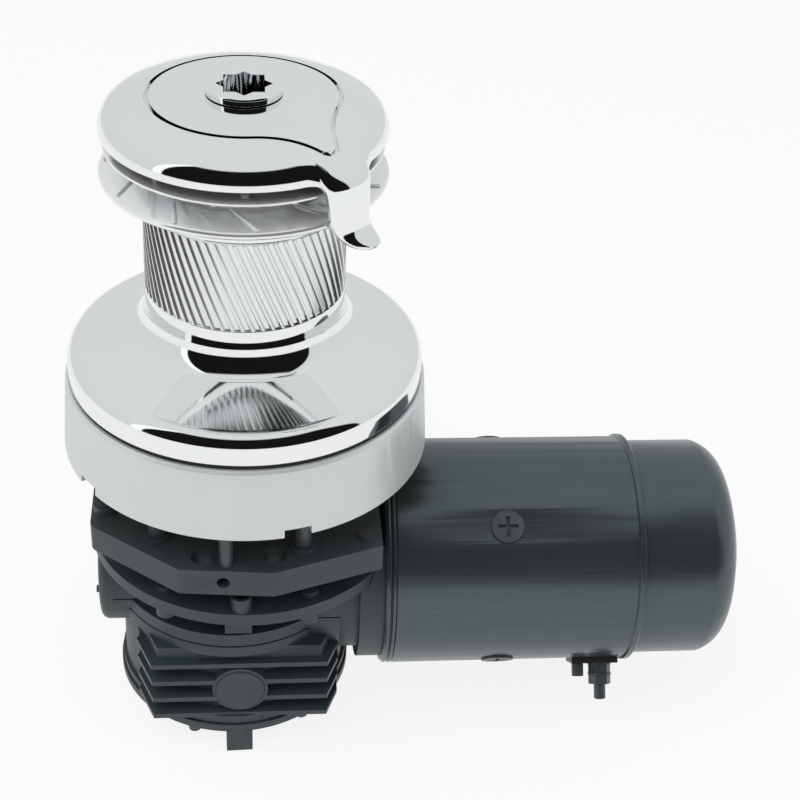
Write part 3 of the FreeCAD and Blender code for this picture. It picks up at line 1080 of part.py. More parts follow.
def make_stator():
    """Motor can, pole shoes with field coils, and the cross-head screws that hold the shoes."""
    inner = MOTOR_RADIUS - MOTOR_WALL
    can = turned_x([(MOTOR_START, inner), (MOTOR_START, MOTOR_RADIUS - 0.8), (MOTOR_START + 0.8, MOTOR_RADIUS),
                    (MOTOR_SEAM - 3.4, MOTOR_RADIUS), (MOTOR_SEAM - 3.0, MOTOR_RADIUS + SEAM_LIP),
                    (MOTOR_SEAM - 0.6, MOTOR_RADIUS + SEAM_LIP), (MOTOR_SEAM, MOTOR_RADIUS + SEAM_LIP - 0.6),
                    (MOTOR_SEAM, inner)])
    poles = spaced(POLE_COUNT, 90.0 - POLE_SCREW_ANGLE)
    shoes = []
    coils = []
    screws = []
    cuts = []
    face = ARMATURE_RADIUS + POLE_GAP
    for angle in poles:
        for items, span, low, start, end in ((shoes, POLE_ANGLE, face, ARMATURE_START, ARMATURE_END),
                                             (coils, 84.0, face + 4, ARMATURE_START - 8, ARMATURE_END + 6)):
            sector = lying_tube(inner - SLIP, low, start, end)
            wedge = Part.makeCylinder(inner + 5, end - start, Vector(start, 0, MOTOR_Z), Vector(1, 0, 0), span)
            wedge.rotate(Vector(0, 0, MOTOR_Z), Vector(1, 0, 0), angle - span / 2)
            items.append(sector.common(wedge))
        screws.append(joined([radial(POLE_SCREW_HEAD, inner + 1.4, MOTOR_RADIUS + 0.6, POLE_SCREW_X, angle),
                              radial(3.0, inner - 6, inner + 2, POLE_SCREW_X, angle)]))
        cuts.append(radial(POLE_SCREW_HEAD + SLIP, inner + 1.4, MOTOR_RADIUS + 2, POLE_SCREW_X, angle))
        cuts.append(radial(3.0 + SLIP, inner - 6.2, inner + 2, POLE_SCREW_X, angle))
    drilled = [shoe.cut(cuts) for shoe in shoes]
    wound = []
    for coil, shoe in zip(coils, shoes):
        wound.append(coil.cut(shoe))
    save("pole_shoes", Part.makeCompound(drilled))
    save("field_coils", Part.makeCompound(wound))
    cross = [block(POLE_SCREW_X - 5, POLE_SCREW_X + 5, -0.9, 0.9, MOTOR_Z + MOTOR_RADIUS - 1.4, MOTOR_Z + 60),
             block(POLE_SCREW_X - 0.9, POLE_SCREW_X + 0.9, -5, 5, MOTOR_Z + MOTOR_RADIUS - 1.4, MOTOR_Z + 60)]
    recess = []
    for angle in poles:
        for bar in cross:
            copy = bar.copy()
            copy.rotate(Vector(0, 0, MOTOR_Z), Vector(1, 0, 0), angle)
            recess.append(copy)
    save("pole_screws", Part.makeCompound([screw.cut(recess) for screw in screws]))
    cuts.append(radial(TERMINAL_ROOT + INSULATOR_WALL + SLIP, inner - 2, MOTOR_RADIUS + 5, TERMINAL_X, TERMINAL_ANGLE))
    cuts.append(radial(EARTH_RADIUS + SLIP, inner - 1, MOTOR_RADIUS + 2, TERMINAL_X - TERMINAL_GAP, TERMINAL_ANGLE))
    save("motor_can", can.cut(cuts))


def make_motor_ends():
    """Front plate on the adapter, rear end cap, bearings, brush holder and brushes."""
    front = turned_x([(ADAPTER_END, 0), (ADAPTER_END, MOTOR_RADIUS - 1.5), (ADAPTER_END + 1.6, MOTOR_RADIUS),
                      (ADAPTER_END + 2.6, MOTOR_RADIUS), (ADAPTER_END + 2.9, MOTOR_RADIUS - 1.0),
                      (ADAPTER_END + 3.5, MOTOR_RADIUS - 1.0), (ADAPTER_END + 3.8, MOTOR_RADIUS),
                      (MOTOR_START, MOTOR_RADIUS), (MOTOR_START, MOTOR_RADIUS - MOTOR_WALL - SLIP),
                      (MOTOR_START + 3, MOTOR_RADIUS - MOTOR_WALL - SLIP), (MOTOR_START + 3, 0)])
    save("motor_front", front.cut(lying(MOTOR_SHAFT_RADIUS + 1, ADAPTER_END - 1, MOTOR_START + 4)))
    wall = END_CAP_WALL
    cap = turned_x([(MOTOR_SEAM, END_CAP_RADIUS - wall), (MOTOR_SEAM, END_CAP_RADIUS),
                    (END_CAP_SHOULDER, END_CAP_RADIUS),
                    ((END_CAP_SHOULDER + 9.2, END_CAP_RADIUS - 5.6), (MOTOR_END - 7.5, END_CAP_RADIUS - 14)),
                    (crown(MOTOR_END - 7.5, END_CAP_RADIUS - 14, MOTOR_END), (MOTOR_END, 0)),
                    (END_CAP_INSIDE - 10, 0), (END_CAP_INSIDE - 10, BALL_BEARING_RADIUS + 5),
                    (END_CAP_INSIDE - 3, BALL_BEARING_RADIUS + 9),
                    (END_CAP_INSIDE - 3, 34), (END_CAP_SHOULDER - 2, END_CAP_RADIUS - wall)])
    bore = lying(BALL_BEARING_RADIUS + SLIP, END_CAP_INSIDE - 11, END_CAP_INSIDE - 1)
    save("motor_end_cap", cap.cut(bore))
    rings = [lying_tube(BALL_BEARING_RADIUS, MOTOR_SHAFT_RADIUS + RUN, start, start + BALL_BEARING_WIDTH)
             for start in (ADAPTER_END - BALL_BEARING_WIDTH, END_CAP_INSIDE - BALL_BEARING_WIDTH - 1.5)]
    save("motor_bearings", Part.makeCompound(rings))
    ring_low = COMMUTATOR_START + 3
    holder = lying_tube(MOTOR_RADIUS - MOTOR_WALL - SLIP, COMMUTATOR_RADIUS + 2.6, ring_low, ring_low + 3)
    brushes = []
    boxes = []
    for angle in spaced(4, 90.0 - POLE_SCREW_ANGLE + 45.0):
        half = BRUSH_WIDTH / 2
        brush = block(ring_low + 4, ring_low + 14, -half, half, MOTOR_Z + COMMUTATOR_RADIUS + PLAY,
                      MOTOR_Z + COMMUTATOR_RADIUS + 16)
        outer = block(ring_low + 3, ring_low + 15.5, -half - 1.5, half + 1.5, MOTOR_Z + COMMUTATOR_RADIUS + 4,
                      MOTOR_Z + COMMUTATOR_RADIUS + 18)
        hole = block(ring_low + 4 - SLIP, ring_low + 14 + SLIP, -half - SLIP, half + SLIP,
                     MOTOR_Z + COMMUTATOR_RADIUS, MOTOR_Z + COMMUTATOR_RADIUS + 16 + SLIP)
        turned_pair = [around_x(item, [angle])[0] for item in (brush, outer.cut(hole))]
        brushes.append(turned_pair[0])
        boxes.append(turned_pair[1])
    half = TERMINAL_RADIUS + 4
    notch = block(ring_low - 1, ring_low + 4, -half, half, MOTOR_Z + COMMUTATOR_RADIUS + 20, MOTOR_Z + MOTOR_RADIUS)
    save("brush_holder", joined([holder] + boxes).cut(around_x(notch, [TERMINAL_ANGLE])))
    save("brushes", Part.makeCompound(brushes))


def terminal_piece(shape):
    """A piece drawn hanging straight up from the motor axis, turned to the terminal's angle."""
    shape.rotate(Vector(0, 0, MOTOR_Z), Vector(1, 0, 0), TERMINAL_ANGLE)
    return shape


def make_terminals():
    """Terminal stud with its insulating block, washers and two nuts, and the short earth post beside it."""
    base = MOTOR_Z + MOTOR_RADIUS
    inner = base - MOTOR_WALL
    x = TERMINAL_X
    block_top = base + 2.6
    sleeve = TERMINAL_ROOT + INSULATOR_WALL
    insulator = joined([cylinder(sleeve, inner - 1, block_top, x, 0),
                        block(x - TERMINAL_GAP - 4.4, x + 8, -8, 8, base - 1, block_top)])
    insulator = insulator.cut([cylinder(TERMINAL_ROOT + SLIP, inner - 2, block_top, x, 0),
                               cylinder(EARTH_RADIUS + SLIP, inner, block_top, x - TERMINAL_GAP, 0),
                               lying(MOTOR_RADIUS + SLIP, x - 20, x + 20)])
    insulator = insulator.fuse(tube(sleeve, TERMINAL_ROOT + SLIP, inner - 1, block_top, x, 0))
    save("terminal_insulator", terminal_piece(insulator.removeSplitter()))
    washers = []
    nuts = []
    level = block_top
    for kind, thickness in (("washer", 1.4), ("nut", 4.2), ("washer", 1.0), ("nut", 4.6)):
        if kind == "washer":
            washers.append(terminal_piece(tube(2.0 * TERMINAL_RADIUS, TERMINAL_ROOT + SLIP, level,
                                               level + thickness, x, 0)))
        else:
            nut = hexagon(TERMINAL_NUT_FLATS, level, level + thickness, x, 0)
            nuts.append(terminal_piece(nut.cut(cylinder(TERMINAL_ROOT + SLIP, level, level + thickness, x, 0))))
        level += thickness
    save("terminal_nuts", Part.makeCompound(washers + nuts))
    tip = MOTOR_Z + TERMINAL_REACH
    head = TERMINAL_RADIUS + TERMINAL_HEAD_WALL
    bevel = TERMINAL_BEVEL
    stud = turned([(0, inner - 5), (head, inner - 5), (head, inner - 1.4), (TERMINAL_ROOT, inner - 1.4),
                   (TERMINAL_ROOT, level + PLAY), (TERMINAL_RADIUS, level + PLAY), (TERMINAL_RADIUS, tip - bevel),
                   (TERMINAL_RADIUS - bevel, tip), (0, tip)])
    stud.translate(Vector(x, 0, 0))
    save("terminal_stud", terminal_piece(stud))
    post = joined([cylinder(EARTH_RADIUS, inner + PLAY, base + 8, x - TERMINAL_GAP, 0),
                   cylinder(EARTH_RADIUS + 0.4, block_top, base + 9.6, x - TERMINAL_GAP, 0)])
    save("earth_post", terminal_piece(post))


def save_all():
    """Builds every piece in turn."""
    os.makedirs("parts", exist_ok=True)
    make_base_ring()
    make_winch_base()
    make_deck_studs()
    make_shaft_group()
    make_drum_bearings()
    make_drum()
    make_jaws()
    make_arm()
    make_socket()
    make_bracket()
    bolts = make_gearbox_top() + case_bolts(0) + cap_screws(0)
    split_seal = make_gear_case()
    bottom_seal, cover_bolts = make_bottom_cover()
    save("gearbox_bolts", Part.makeCompound(bolts + cover_bolts))
    save("gearbox_gaskets", Part.makeCompound([split_seal, bottom_seal]))
    make_worm_drive()
    make_worm_ends()
    make_rotor()
    make_stator()
    make_motor_ends()
    make_terminals()


save_all()
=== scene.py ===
"""Electric self-tailing winch: polished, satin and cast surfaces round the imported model.

Lengths in this file are millimetres, and they are turned into metres where a mesh or an object is made.
"""

import json
import logging
import math
from dataclasses import dataclass, field
from enum import Enum
from typing import Sequence

import bmesh
import bpy
from mathutils import Matrix, Vector

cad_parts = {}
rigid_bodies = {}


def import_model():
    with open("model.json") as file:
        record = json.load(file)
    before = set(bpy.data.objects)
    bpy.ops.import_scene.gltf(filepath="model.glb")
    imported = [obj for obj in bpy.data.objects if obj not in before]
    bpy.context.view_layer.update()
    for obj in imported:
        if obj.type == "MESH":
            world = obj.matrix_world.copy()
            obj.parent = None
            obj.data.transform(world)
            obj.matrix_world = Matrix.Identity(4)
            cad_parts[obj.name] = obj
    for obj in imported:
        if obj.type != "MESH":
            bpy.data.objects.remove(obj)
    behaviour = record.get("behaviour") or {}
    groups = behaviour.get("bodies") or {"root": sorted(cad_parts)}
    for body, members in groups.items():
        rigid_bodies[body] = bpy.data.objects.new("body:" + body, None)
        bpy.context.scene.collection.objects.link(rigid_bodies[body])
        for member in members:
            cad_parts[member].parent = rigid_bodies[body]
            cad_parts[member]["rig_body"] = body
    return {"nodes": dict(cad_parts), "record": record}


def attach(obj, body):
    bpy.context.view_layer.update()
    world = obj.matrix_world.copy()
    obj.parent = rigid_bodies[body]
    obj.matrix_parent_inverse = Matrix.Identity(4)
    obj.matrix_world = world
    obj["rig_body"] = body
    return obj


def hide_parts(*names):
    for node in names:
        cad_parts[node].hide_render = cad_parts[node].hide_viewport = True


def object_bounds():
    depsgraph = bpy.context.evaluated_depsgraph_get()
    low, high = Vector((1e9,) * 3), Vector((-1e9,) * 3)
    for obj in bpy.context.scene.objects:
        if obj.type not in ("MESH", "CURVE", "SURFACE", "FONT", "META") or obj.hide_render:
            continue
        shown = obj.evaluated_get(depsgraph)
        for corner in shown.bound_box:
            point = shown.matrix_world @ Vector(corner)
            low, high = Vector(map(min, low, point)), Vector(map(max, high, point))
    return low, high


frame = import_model()
CAD_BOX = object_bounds()

MM = 0.001
ROUND_STEPS = 256
MOTOR_Z = -78.3                  # height of the motor's axis
BRUSH_STRETCH = 0.008            # how much longer than wide brush marks are, as a factor of their scale
log = logging.getLogger("winch")


class Slot(Enum):
    """The record's material slots."""

    CHROME = "chrome"
    SATIN = "satin_alloy"
    CASTING = "black_casting"
    MOTOR = "motor_black"
    STAINLESS = "stainless"
    GEAR = "gear_steel"
    DARK_STEEL = "dark_steel"
    BRONZE = "bronze"
    BRONZE_CASTING = "bronze_casting"
    COPPER = "copper"
    IRON = "magnet_iron"
    CARBON = "carbon"
    BLACK_PLASTIC = "black_plastic"
    WHITE_PLASTIC = "white_plastic"
    RUBBER = "seal_rubber"


class Grain(Enum):
    """What a finish shows close up."""

    POLISHED = "polished"
    TURNED = "turned"
    CAST = "cast"
    BRUSHED = "brushed"
    MOULDED = "moulded"


class Term:
    """A value or vector socket that takes part in expressions, each of which adds its Math nodes."""

    def __init__(self, shader: "Shader", socket: bpy.types.NodeSocket) -> None:
        """Wraps one output socket of a shader's tree."""
        self.shader = shader
        self.socket = socket

    def _math(self, operation: str, first: "Term | float", second: "Term | float") -> "Term":
        """Adds one Math node.

        Args:
            operation: Name of the Math node's operation.
            first: Left side.
            second: Right side.

        Returns:
            The node's result.
        """
        return self.shader.node("ShaderNodeMath", {"operation": operation}, {0: first, 1: second})

    def __add__(self, other: "Term | float") -> "Term":
        """Sum."""
        return self._math("ADD", self, other)

    def __radd__(self, other: float) -> "Term":
        """Sum with a number on the left."""
        return self._math("ADD", other, self)

    def __sub__(self, other: "Term | float") -> "Term":
        """Difference."""
        return self._math("SUBTRACT", self, other)

    def __rsub__(self, other: float) -> "Term":
        """Difference from a number."""
        return self._math("SUBTRACT", other, self)

    def __mul__(self, other: "Term | float") -> "Term":
        """Product."""
        return self._math("MULTIPLY", self, other)


class Shader:
    """A node tree of one material or world, written as expressions."""

    def __init__(self, tree: bpy.types.NodeTree) -> None:
        """Starts with an empty tree."""
        self.tree = tree
        tree.nodes.clear()

    def node(self, kind: str, settings: dict, sockets: dict, output: int | str = 0) -> Term:
        """Adds a node of any type.

        Args:
            kind: The node's type.
            settings: Properties of the node, set before its sockets.
            sockets: Values or links of its input sockets by name or number.
            output: Name or number of the output that is returned.

        Returns:
            The chosen output.
        """
        made = self.tree.nodes.new(kind)
        for name, value in settings.items():
            setattr(made, name, value)
        for name, value in sockets.items():
            if isinstance(value, Term):
                self.tree.links.new(value.socket, made.inputs[name])
            else:
                made.inputs[name].default_value = value
        outputs = made.outputs
        return Term(self, outputs[output]) if len(outputs) else Term(self, None)

    def split(self, vector: Term) -> list[Term]:
        """The three parts of a vector.

        Args:
            vector: The vector.

        Returns:
            Its X, Y and Z.
        """
        first = self.node("ShaderNodeSeparateXYZ", {}, {0: vector})
        return [Term(self, part) for part in first.socket.node.outputs]

    def noise(self, point: Term, scale: float, detail: float = 2.0, roughness: float = 0.5) -> Term:
        """Noise between 0 and 1.

        Args:
            point: Where it is read.
            scale: Waves per metre.
            detail: Octaves.
            roughness: Weight of the finer octaves.

        Returns:
            The noise's value.
        """
        return self.node("ShaderNodeTexNoise", {}, {"Vector": point, "Scale": scale, "Detail": detail,
                                                    "Roughness": roughness})

    def stretched(self, point: Term, scale: tuple[float, float, float]) -> Term:
        """The same point with each axis scaled.

        Args:
            point: The point.
            scale: Factor of each axis.

        Returns:
            The scaled point.
        """
        return self.node("ShaderNodeMapping", {}, {"Vector": point, "Scale": scale})

    def ramp(self, value: Term, low: float, high: float, bottom: float = 0.0, top: float = 1.0) -> Term:
        """A smooth step.

        Args:
            value: What is mapped.
            low: Value at which the step starts.
            high: Value at which it ends.
            bottom: Result below the step.
            top: Result above it.

        Returns:
            The mapped value.
        """
        return self.node("ShaderNodeMapRange", {"interpolation_type": "SMOOTHSTEP"},
                         {"Value": value, "From Min": low, "From Max": high, "To Min": bottom, "To Max": top})

    def blend(self, share: Term | float, first: tuple | Term, second: tuple | Term) -> Term:
        """Mixes two colours.

        Args:
            share: Weight of the second colour.
            first: Colour at 0.
            second: Colour at 1.

        Returns:
            The mixed colour.
        """
        return self.node("ShaderNodeMix", {"data_type": "RGBA"}, {0: share, 6: first, 7: second}, 2)


Rgb = tuple[float, float, float]


@dataclass(frozen=True)
class Finish:
    """One finish: its colour, how it shines and what its grain is."""

    slot: Slot
    colour: Rgb
    metallic: float
    roughness: float
    grain: Grain
    spread: float = 0.08          # share by which the colour varies
    relief: float = 0.1           # depth of the grain in tenths of a millimetre
    scale: float = 900.0          # grains per metre
    lying: bool = False           # the lathe's axis is X instead of Z

    def _distance_from_axis(self, shader: Shader, point: Term) -> Term:
        """Distance from the axis that the piece was turned on.

        Args:
            shader: The tree.
            point: Object coordinates.

        Returns:
            The distance in metres.
        """
        centre = (0.0, 0.0, MOTOR_Z * MM) if self.lying else (0.0, 0.0, 0.0)
        keep = (0.0, 1.0, 1.0) if self.lying else (1.0, 1.0, 0.0)
        moved = shader.node("ShaderNodeVectorMath", {"operation": "SUBTRACT"}, {0: point, 1: centre})
        flat = shader.node("ShaderNodeVectorMath", {"operation": "MULTIPLY"}, {0: moved, 1: keep})
        return shader.node("ShaderNodeVectorMath", {"operation": "LENGTH"}, {0: flat}, "Value")

    def _ring_noise(self, shader: Shader, point: Term, waves: float) -> Term:
        """Noise that runs in rings about the turning axis, as a lathe tool leaves it.

        Args:
            shader: The tree.
            point: Object coordinates.
            waves: Rings per metre.

        Returns:
            The noise.
        """
        x, _, z = shader.split(point)
        distance = self._distance_from_axis(shader, point)
        along = x if self.lying else z
        ring = shader.node("ShaderNodeCombineXYZ", {}, {"X": distance * waves, "Y": along * waves})
        return shader.noise(ring, 1.0, 3.0)

    def _grain_parts(self, shader: Shader, point: Term) -> tuple[Term, Term, Term]:
        """Colour share, roughness and height of the grain.

        Args:
            shader: The tree.
            point: Object coordinates.

        Returns:
            Share of the lighter colour, roughness and height.
        """
        cloud = shader.noise(point, self.scale * 0.04, 3.0)
        if self.grain is Grain.POLISHED:
            fine = shader.noise(point, self.scale, 2.0)
            return cloud, self.roughness * 0.6 + cloud * (self.roughness * 0.8), fine
        if self.grain is Grain.TURNED:
            rings = self._ring_noise(shader, point, self.scale)
            return rings * 0.7 + cloud * 0.3, self.roughness * 0.8 + rings * (self.roughness * 0.4), rings
        if self.grain is Grain.BRUSHED:
            axis = (BRUSH_STRETCH, 1.0, 1.0) if self.lying else (1.0, 1.0, BRUSH_STRETCH)
            lines = shader.noise(shader.stretched(point, axis), self.scale, 3.0, 0.6)
            return lines * 0.8 + cloud * 0.2, self.roughness * 0.75 + lines * (self.roughness * 0.5), lines
        if self.grain is Grain.CAST:
            coarse = shader.noise(point, self.scale * 0.35, 3.0, 0.6)
            grit = shader.noise(point, self.scale, 4.0, 0.7)
            return cloud * 0.5 + grit * 0.5, self.roughness * 0.8 + grit * (self.roughness * 0.4), (
                coarse * 0.5 + grit * 0.5)
        fine = shader.noise(point, self.scale, 2.0)
        return cloud, self.roughness * 0.85 + fine * (self.roughness * 0.3), fine

    def material(self) -> bpy.types.Material:
        """Makes the material, or finds the one made before.

        Returns:
            The material.
        """
        name = self.slot.value + "_" + self.grain.value + ("_lying" if self.lying else "")
        found = bpy.data.materials.get(name)
        if found:
            return found
        made = bpy.data.materials.new(name)
        made.use_nodes = True
        shader = Shader(made.node_tree)
        point = shader.node("ShaderNodeTexCoord", {}, {}, "Object")
        share, rough, height = self._grain_parts(shader, point)
        dark = tuple(c * (1.0 - self.spread) for c in self.colour) + (1.0,)
        light = tuple(min(1.0, c * (1.0 + self.spread)) for c in self.colour) + (1.0,)
        colour = shader.blend(shader.ramp(share, 0.25, 0.75), dark, light)
        bump = shader.node("ShaderNodeBump", {}, {"Height": height, "Strength": 1.0,
                                                  "Distance": self.relief * 0.1 * MM})
        bsdf = shader.node("ShaderNodeBsdfPrincipled", {}, {"Base Color": colour, "Metallic": self.metallic,
                                                            "Roughness": rough, "Normal": bump})
        shader.node("ShaderNodeOutputMaterial", {}, {"Surface": bsdf})
        return made


FINISHES = {
    Slot.CHROME: Finish(Slot.CHROME, (0.84, 0.855, 0.86), 1.0, 0.045, Grain.POLISHED, 0.01, 0.002, 400.0),
    Slot.SATIN: Finish(Slot.SATIN, (0.66, 0.69, 0.69), 0.45, 0.40, Grain.TURNED, 0.03, 0.03, 2500.0),
    Slot.CASTING: Finish(Slot.CASTING, (0.036, 0.050, 0.056), 0.0, 0.48, Grain.CAST, 0.16, 0.9, 1300.0),
    Slot.MOTOR: Finish(Slot.MOTOR, (0.088, 0.108, 0.118), 0.72, 0.30, Grain.BRUSHED, 0.12, 0.05, 2600.0, True),
    Slot.STAINLESS: Finish(Slot.STAINLESS, (0.55, 0.56, 0.57), 1.0, 0.28, Grain.POLISHED, 0.04, 0.02, 900.0),
    Slot.GEAR: Finish(Slot.GEAR, (0.33, 0.33, 0.34), 1.0, 0.32, Grain.MOULDED, 0.10, 0.05, 1500.0),
    Slot.DARK_STEEL: Finish(Slot.DARK_STEEL, (0.075, 0.085, 0.092), 0.4, 0.38, Grain.MOULDED, 0.15, 0.1, 1500.0),
    Slot.BRONZE: Finish(Slot.BRONZE, (0.62, 0.42, 0.20), 1.0, 0.35, Grain.TURNED, 0.08, 0.05, 2000.0),
    Slot.BRONZE_CASTING: Finish(Slot.BRONZE_CASTING, (0.50, 0.33, 0.16), 1.0, 0.45, Grain.CAST, 0.12, 0.5, 900.0),
    Slot.COPPER: Finish(Slot.COPPER, (0.78, 0.40, 0.24), 1.0, 0.30, Grain.BRUSHED, 0.10, 0.1, 2500.0, True),
    Slot.IRON: Finish(Slot.IRON, (0.13, 0.13, 0.14), 0.8, 0.50, Grain.CAST, 0.12, 0.4, 1200.0),
    Slot.CARBON: Finish(Slot.CARBON, (0.03, 0.03, 0.032), 0.0, 0.55, Grain.MOULDED, 0.15, 0.2, 1800.0),
    Slot.BLACK_PLASTIC: Finish(Slot.BLACK_PLASTIC, (0.02, 0.021, 0.022), 0.0, 0.42, Grain.MOULDED, 0.10, 0.1,
                               1500.0),
    Slot.WHITE_PLASTIC: Finish(Slot.WHITE_PLASTIC, (0.72, 0.71, 0.67), 0.0, 0.42, Grain.MOULDED, 0.05, 0.1, 1500.0),
    Slot.RUBBER: Finish(Slot.RUBBER, (0.012, 0.012, 0.013), 0.0, 0.65, Grain.MOULDED, 0.10, 0.2, 1800.0),
}
# The jaws are faced on a lathe and the grip is dulled by rope, so both shine less than the polished drum.
FACED_CHROME = Finish(Slot.CHROME, (0.86, 0.87, 0.875), 0.75, 0.20, Grain.TURNED, 0.02, 0.02, 900.0)
WORN_CHROME = Finish(Slot.CHROME, (0.82, 0.835, 0.84), 1.0, 0.25, Grain.MOULDED, 0.02, 0.02, 900.0)


def dress(piece: bpy.types.Object, finish: Finish) -> None:
    """Gives a piece one finish all over.

    Args:
        piece: The piece.
        finish: Its finish.
    """
    piece.data.materials.clear()
    piece.data.materials.append(finish.material())
    for face in piece.data.polygons:
        face.material_index = 0


def body_of_node(node: str) -> str:
    """The body that a CAD node rides on."""
    return frame["nodes"][node]["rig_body"]


def stand_for(piece: bpy.types.Object, slot: Slot, *nodes: str, finish: Finish | None = None) -> None:
    """Puts a finished piece in the place of CAD nodes.

    Args:
        piece: The piece.
        slot: The record's slot that it shows.
        nodes: The CAD nodes that it replaces, all on one body.
        finish: Its finish, where it isn't the slot's usual one.
    """
    dress(piece, finish or FINISHES[slot])
    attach(piece, body_of_node(nodes[0]))
    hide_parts(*nodes)
    log.info("%s stands for %s, %d faces", piece.name, ", ".join(nodes), len(piece.data.polygons))


def finished(bm: bmesh.types.BMesh, name: str, sharp: float = 30.0) -> bpy.types.Object:
    """Turns a bmesh into a piece with smooth shading and sharp edges.

    Args:
        bm: The mesh, in metres. It is freed.
        name: Name of the piece.
        sharp: Angle in degrees above which an edge stays sharp.

    Returns:
        The new object.
    """
    mesh = bpy.data.meshes.new(name)
    bm.to_mesh(mesh)
    bm.free()
    mesh.polygons.foreach_set("use_smooth", [True] * len(mesh.polygons))
    mesh.set_sharp_from_angle(angle=math.radians(sharp))
    piece = bpy.data.objects.new(name, mesh)
    bpy.context.scene.collection.objects.link(piece)
    return piece


@dataclass(frozen=True)
class Step:
    """One step of a turned outline."""

    radius: float
    height: float
    via: tuple[float, float] | None = None   # point that an arc passes on its way here
    ease: float = 0.0                        # how far the corner here is rounded off
    parts: int = 12                          # edges of the arc


def circle_centre(a: Vector, b: Vector, c: Vector) -> Vector:
    """Centre of the circle through three points of the XZ plane.

    Args:
        a: First point.
        b: Second point.
        c: Third point.

    Returns:
        The centre.
    """
    u, v = b - a, c - a
    cross = 2 * (u.x * v.z - u.z * v.x)
    x = (v.z * u.length_squared - u.z * v.length_squared) / cross
    z = (u.x * v.length_squared - v.x * u.length_squared) / cross
    return a + Vector((x, 0, z))


def swept_angle(start: Vector, middle: Vector, end: Vector) -> float:
    """Angle about Y from one arm of an arc to the other, on the side that the middle lies on.

    Args:
        start: From the arc's centre to its start.
        middle: From the centre to a point between.
        end: From the centre to its end.

    Returns:
        The signed angle in radians.
    """
    first, whole = (math.atan2(start.z * arm.x - start.x * arm.z, start.dot(arm)) for arm in (middle, end))
    if first * whole < 0 or abs(first) > abs(whole):
        whole -= math.copysign(math.tau, whole)
    return whole


def draw_outline(bm: bmesh.types.BMesh, steps: Sequence[Step]) -> None:
    """Draws an outline in the XZ plane, with its arcs swept and its corners bevelled.

    Args:
        bm: The mesh.
        steps: The outline, closed unless both its ends lie on the axis.
    """
    here = bm.verts.new((steps[0].radius * MM, 0, steps[0].height * MM))
    first = here
    corners = [(here, steps[0].ease)]
    for step in steps[1:]:
        target = Vector((step.radius * MM, 0, step.height * MM))
        if step.via:
            middle = Vector((step.via[0] * MM, 0, step.via[1] * MM))
            centre = circle_centre(here.co, middle, target)
            angle = swept_angle(here.co - centre, middle - centre, target - centre)
            swept = bmesh.ops.spin(bm, geom=[here], cent=centre, axis=(0, 1, 0), angle=angle, steps=step.parts)
            here = next(g for g in swept["geom_last"] if isinstance(g, bmesh.types.BMVert))
        else:
            there = bm.verts.new(target)
            bm.edges.new((here, there))
            here = there
        corners.append((here, step.ease))
    if (first.co.x > 1e-6 or here.co.x > 1e-6) and (here.co - first.co).length > 1e-6:
        bm.edges.new((here, first))
    for vert, ease in corners:
        if ease:
            bmesh.ops.bevel(bm, geom=[vert], offset=ease * MM, segments=4, profile=0.5, affect="VERTICES",
                            material=-1)


def turn_round(bm: bmesh.types.BMesh) -> None:
    """Spins what is drawn in the XZ plane once round Z and closes it.

    Args:
        bm: The mesh.
    """
    bmesh.ops.spin(bm, geom=bm.verts[:] + bm.edges[:], cent=(0, 0, 0), axis=(0, 0, 1), angle=math.tau,
                   steps=ROUND_STEPS, use_merge=True)
    bmesh.ops.remove_doubles(bm, verts=bm.verts, dist=1e-7)
    bmesh.ops.recalc_face_normals(bm, faces=bm.faces)


def eased_copy(node: str, name: str, edge: float, angle: float = 35.0) -> bpy.types.Object:
    """A copy of a CAD node with clean faces and its edges broken, as a casting or a machined piece has them.

    Args:
        node: The CAD node.
        name: Name of the copy.
        edge: How far its edges are rounded.
        angle: Edges sharper than this are rounded.

    Returns:
        The piece.
    """
    bm = bmesh.new()
    bm.from_mesh(frame["nodes"][node].data)
    bmesh.ops.remove_doubles(bm, verts=bm.verts, dist=2e-6)
    bmesh.ops.dissolve_limit(bm, angle_limit=math.radians(0.5), verts=bm.verts, edges=bm.edges)
    piece = finished(bm, name, angle)
    ease_edges(piece, edge, angle)
    return piece


def ease_edges(piece: bpy.types.Object, edge: float, angle: float) -> None:
    """Breaks a piece's sharp edges.

    Args:
        piece: The piece.
        edge: How far its edges are rounded.
        angle: Edges sharper than this are rounded.
    """
    bevel = piece.modifiers.new("ease", "BEVEL")
    bevel.width = edge * MM
    bevel.segments = 2
    bevel.limit_method = "ANGLE"
    bevel.angle_limit = math.radians(angle)
    bevel.harden_normals = True


def carved(piece: bpy.types.Object, tool: bpy.types.Object) -> bpy.types.Object:
    """Cuts one piece out of another.

    Args:
        piece: The piece that stays.
        tool: The piece that is cut out and then thrown away.

    Returns:
        The piece that stays.
    """
    cut = piece.modifiers.new("cut", "BOOLEAN")
    cut.operation = "DIFFERENCE"
    cut.solver = "EXACT"
    cut.object = tool
    bpy.context.view_layer.update()
    whole = piece.evaluated_get(bpy.context.evaluated_depsgraph_get())
    piece.data = bpy.data.meshes.new_from_object(whole)
    piece.modifiers.clear()
    bpy.data.objects.remove(tool)
    return piece


@dataclass
class DeckBase:
    """Pale skirt of the base."""

    edge: float = 0.5

    def build(self) -> None:
        """Eases the skirt's edges and dresses the skirt."""
        stand_for(eased_copy("base_ring", "base_skirt", self.edge), Slot.SATIN, "base_ring")


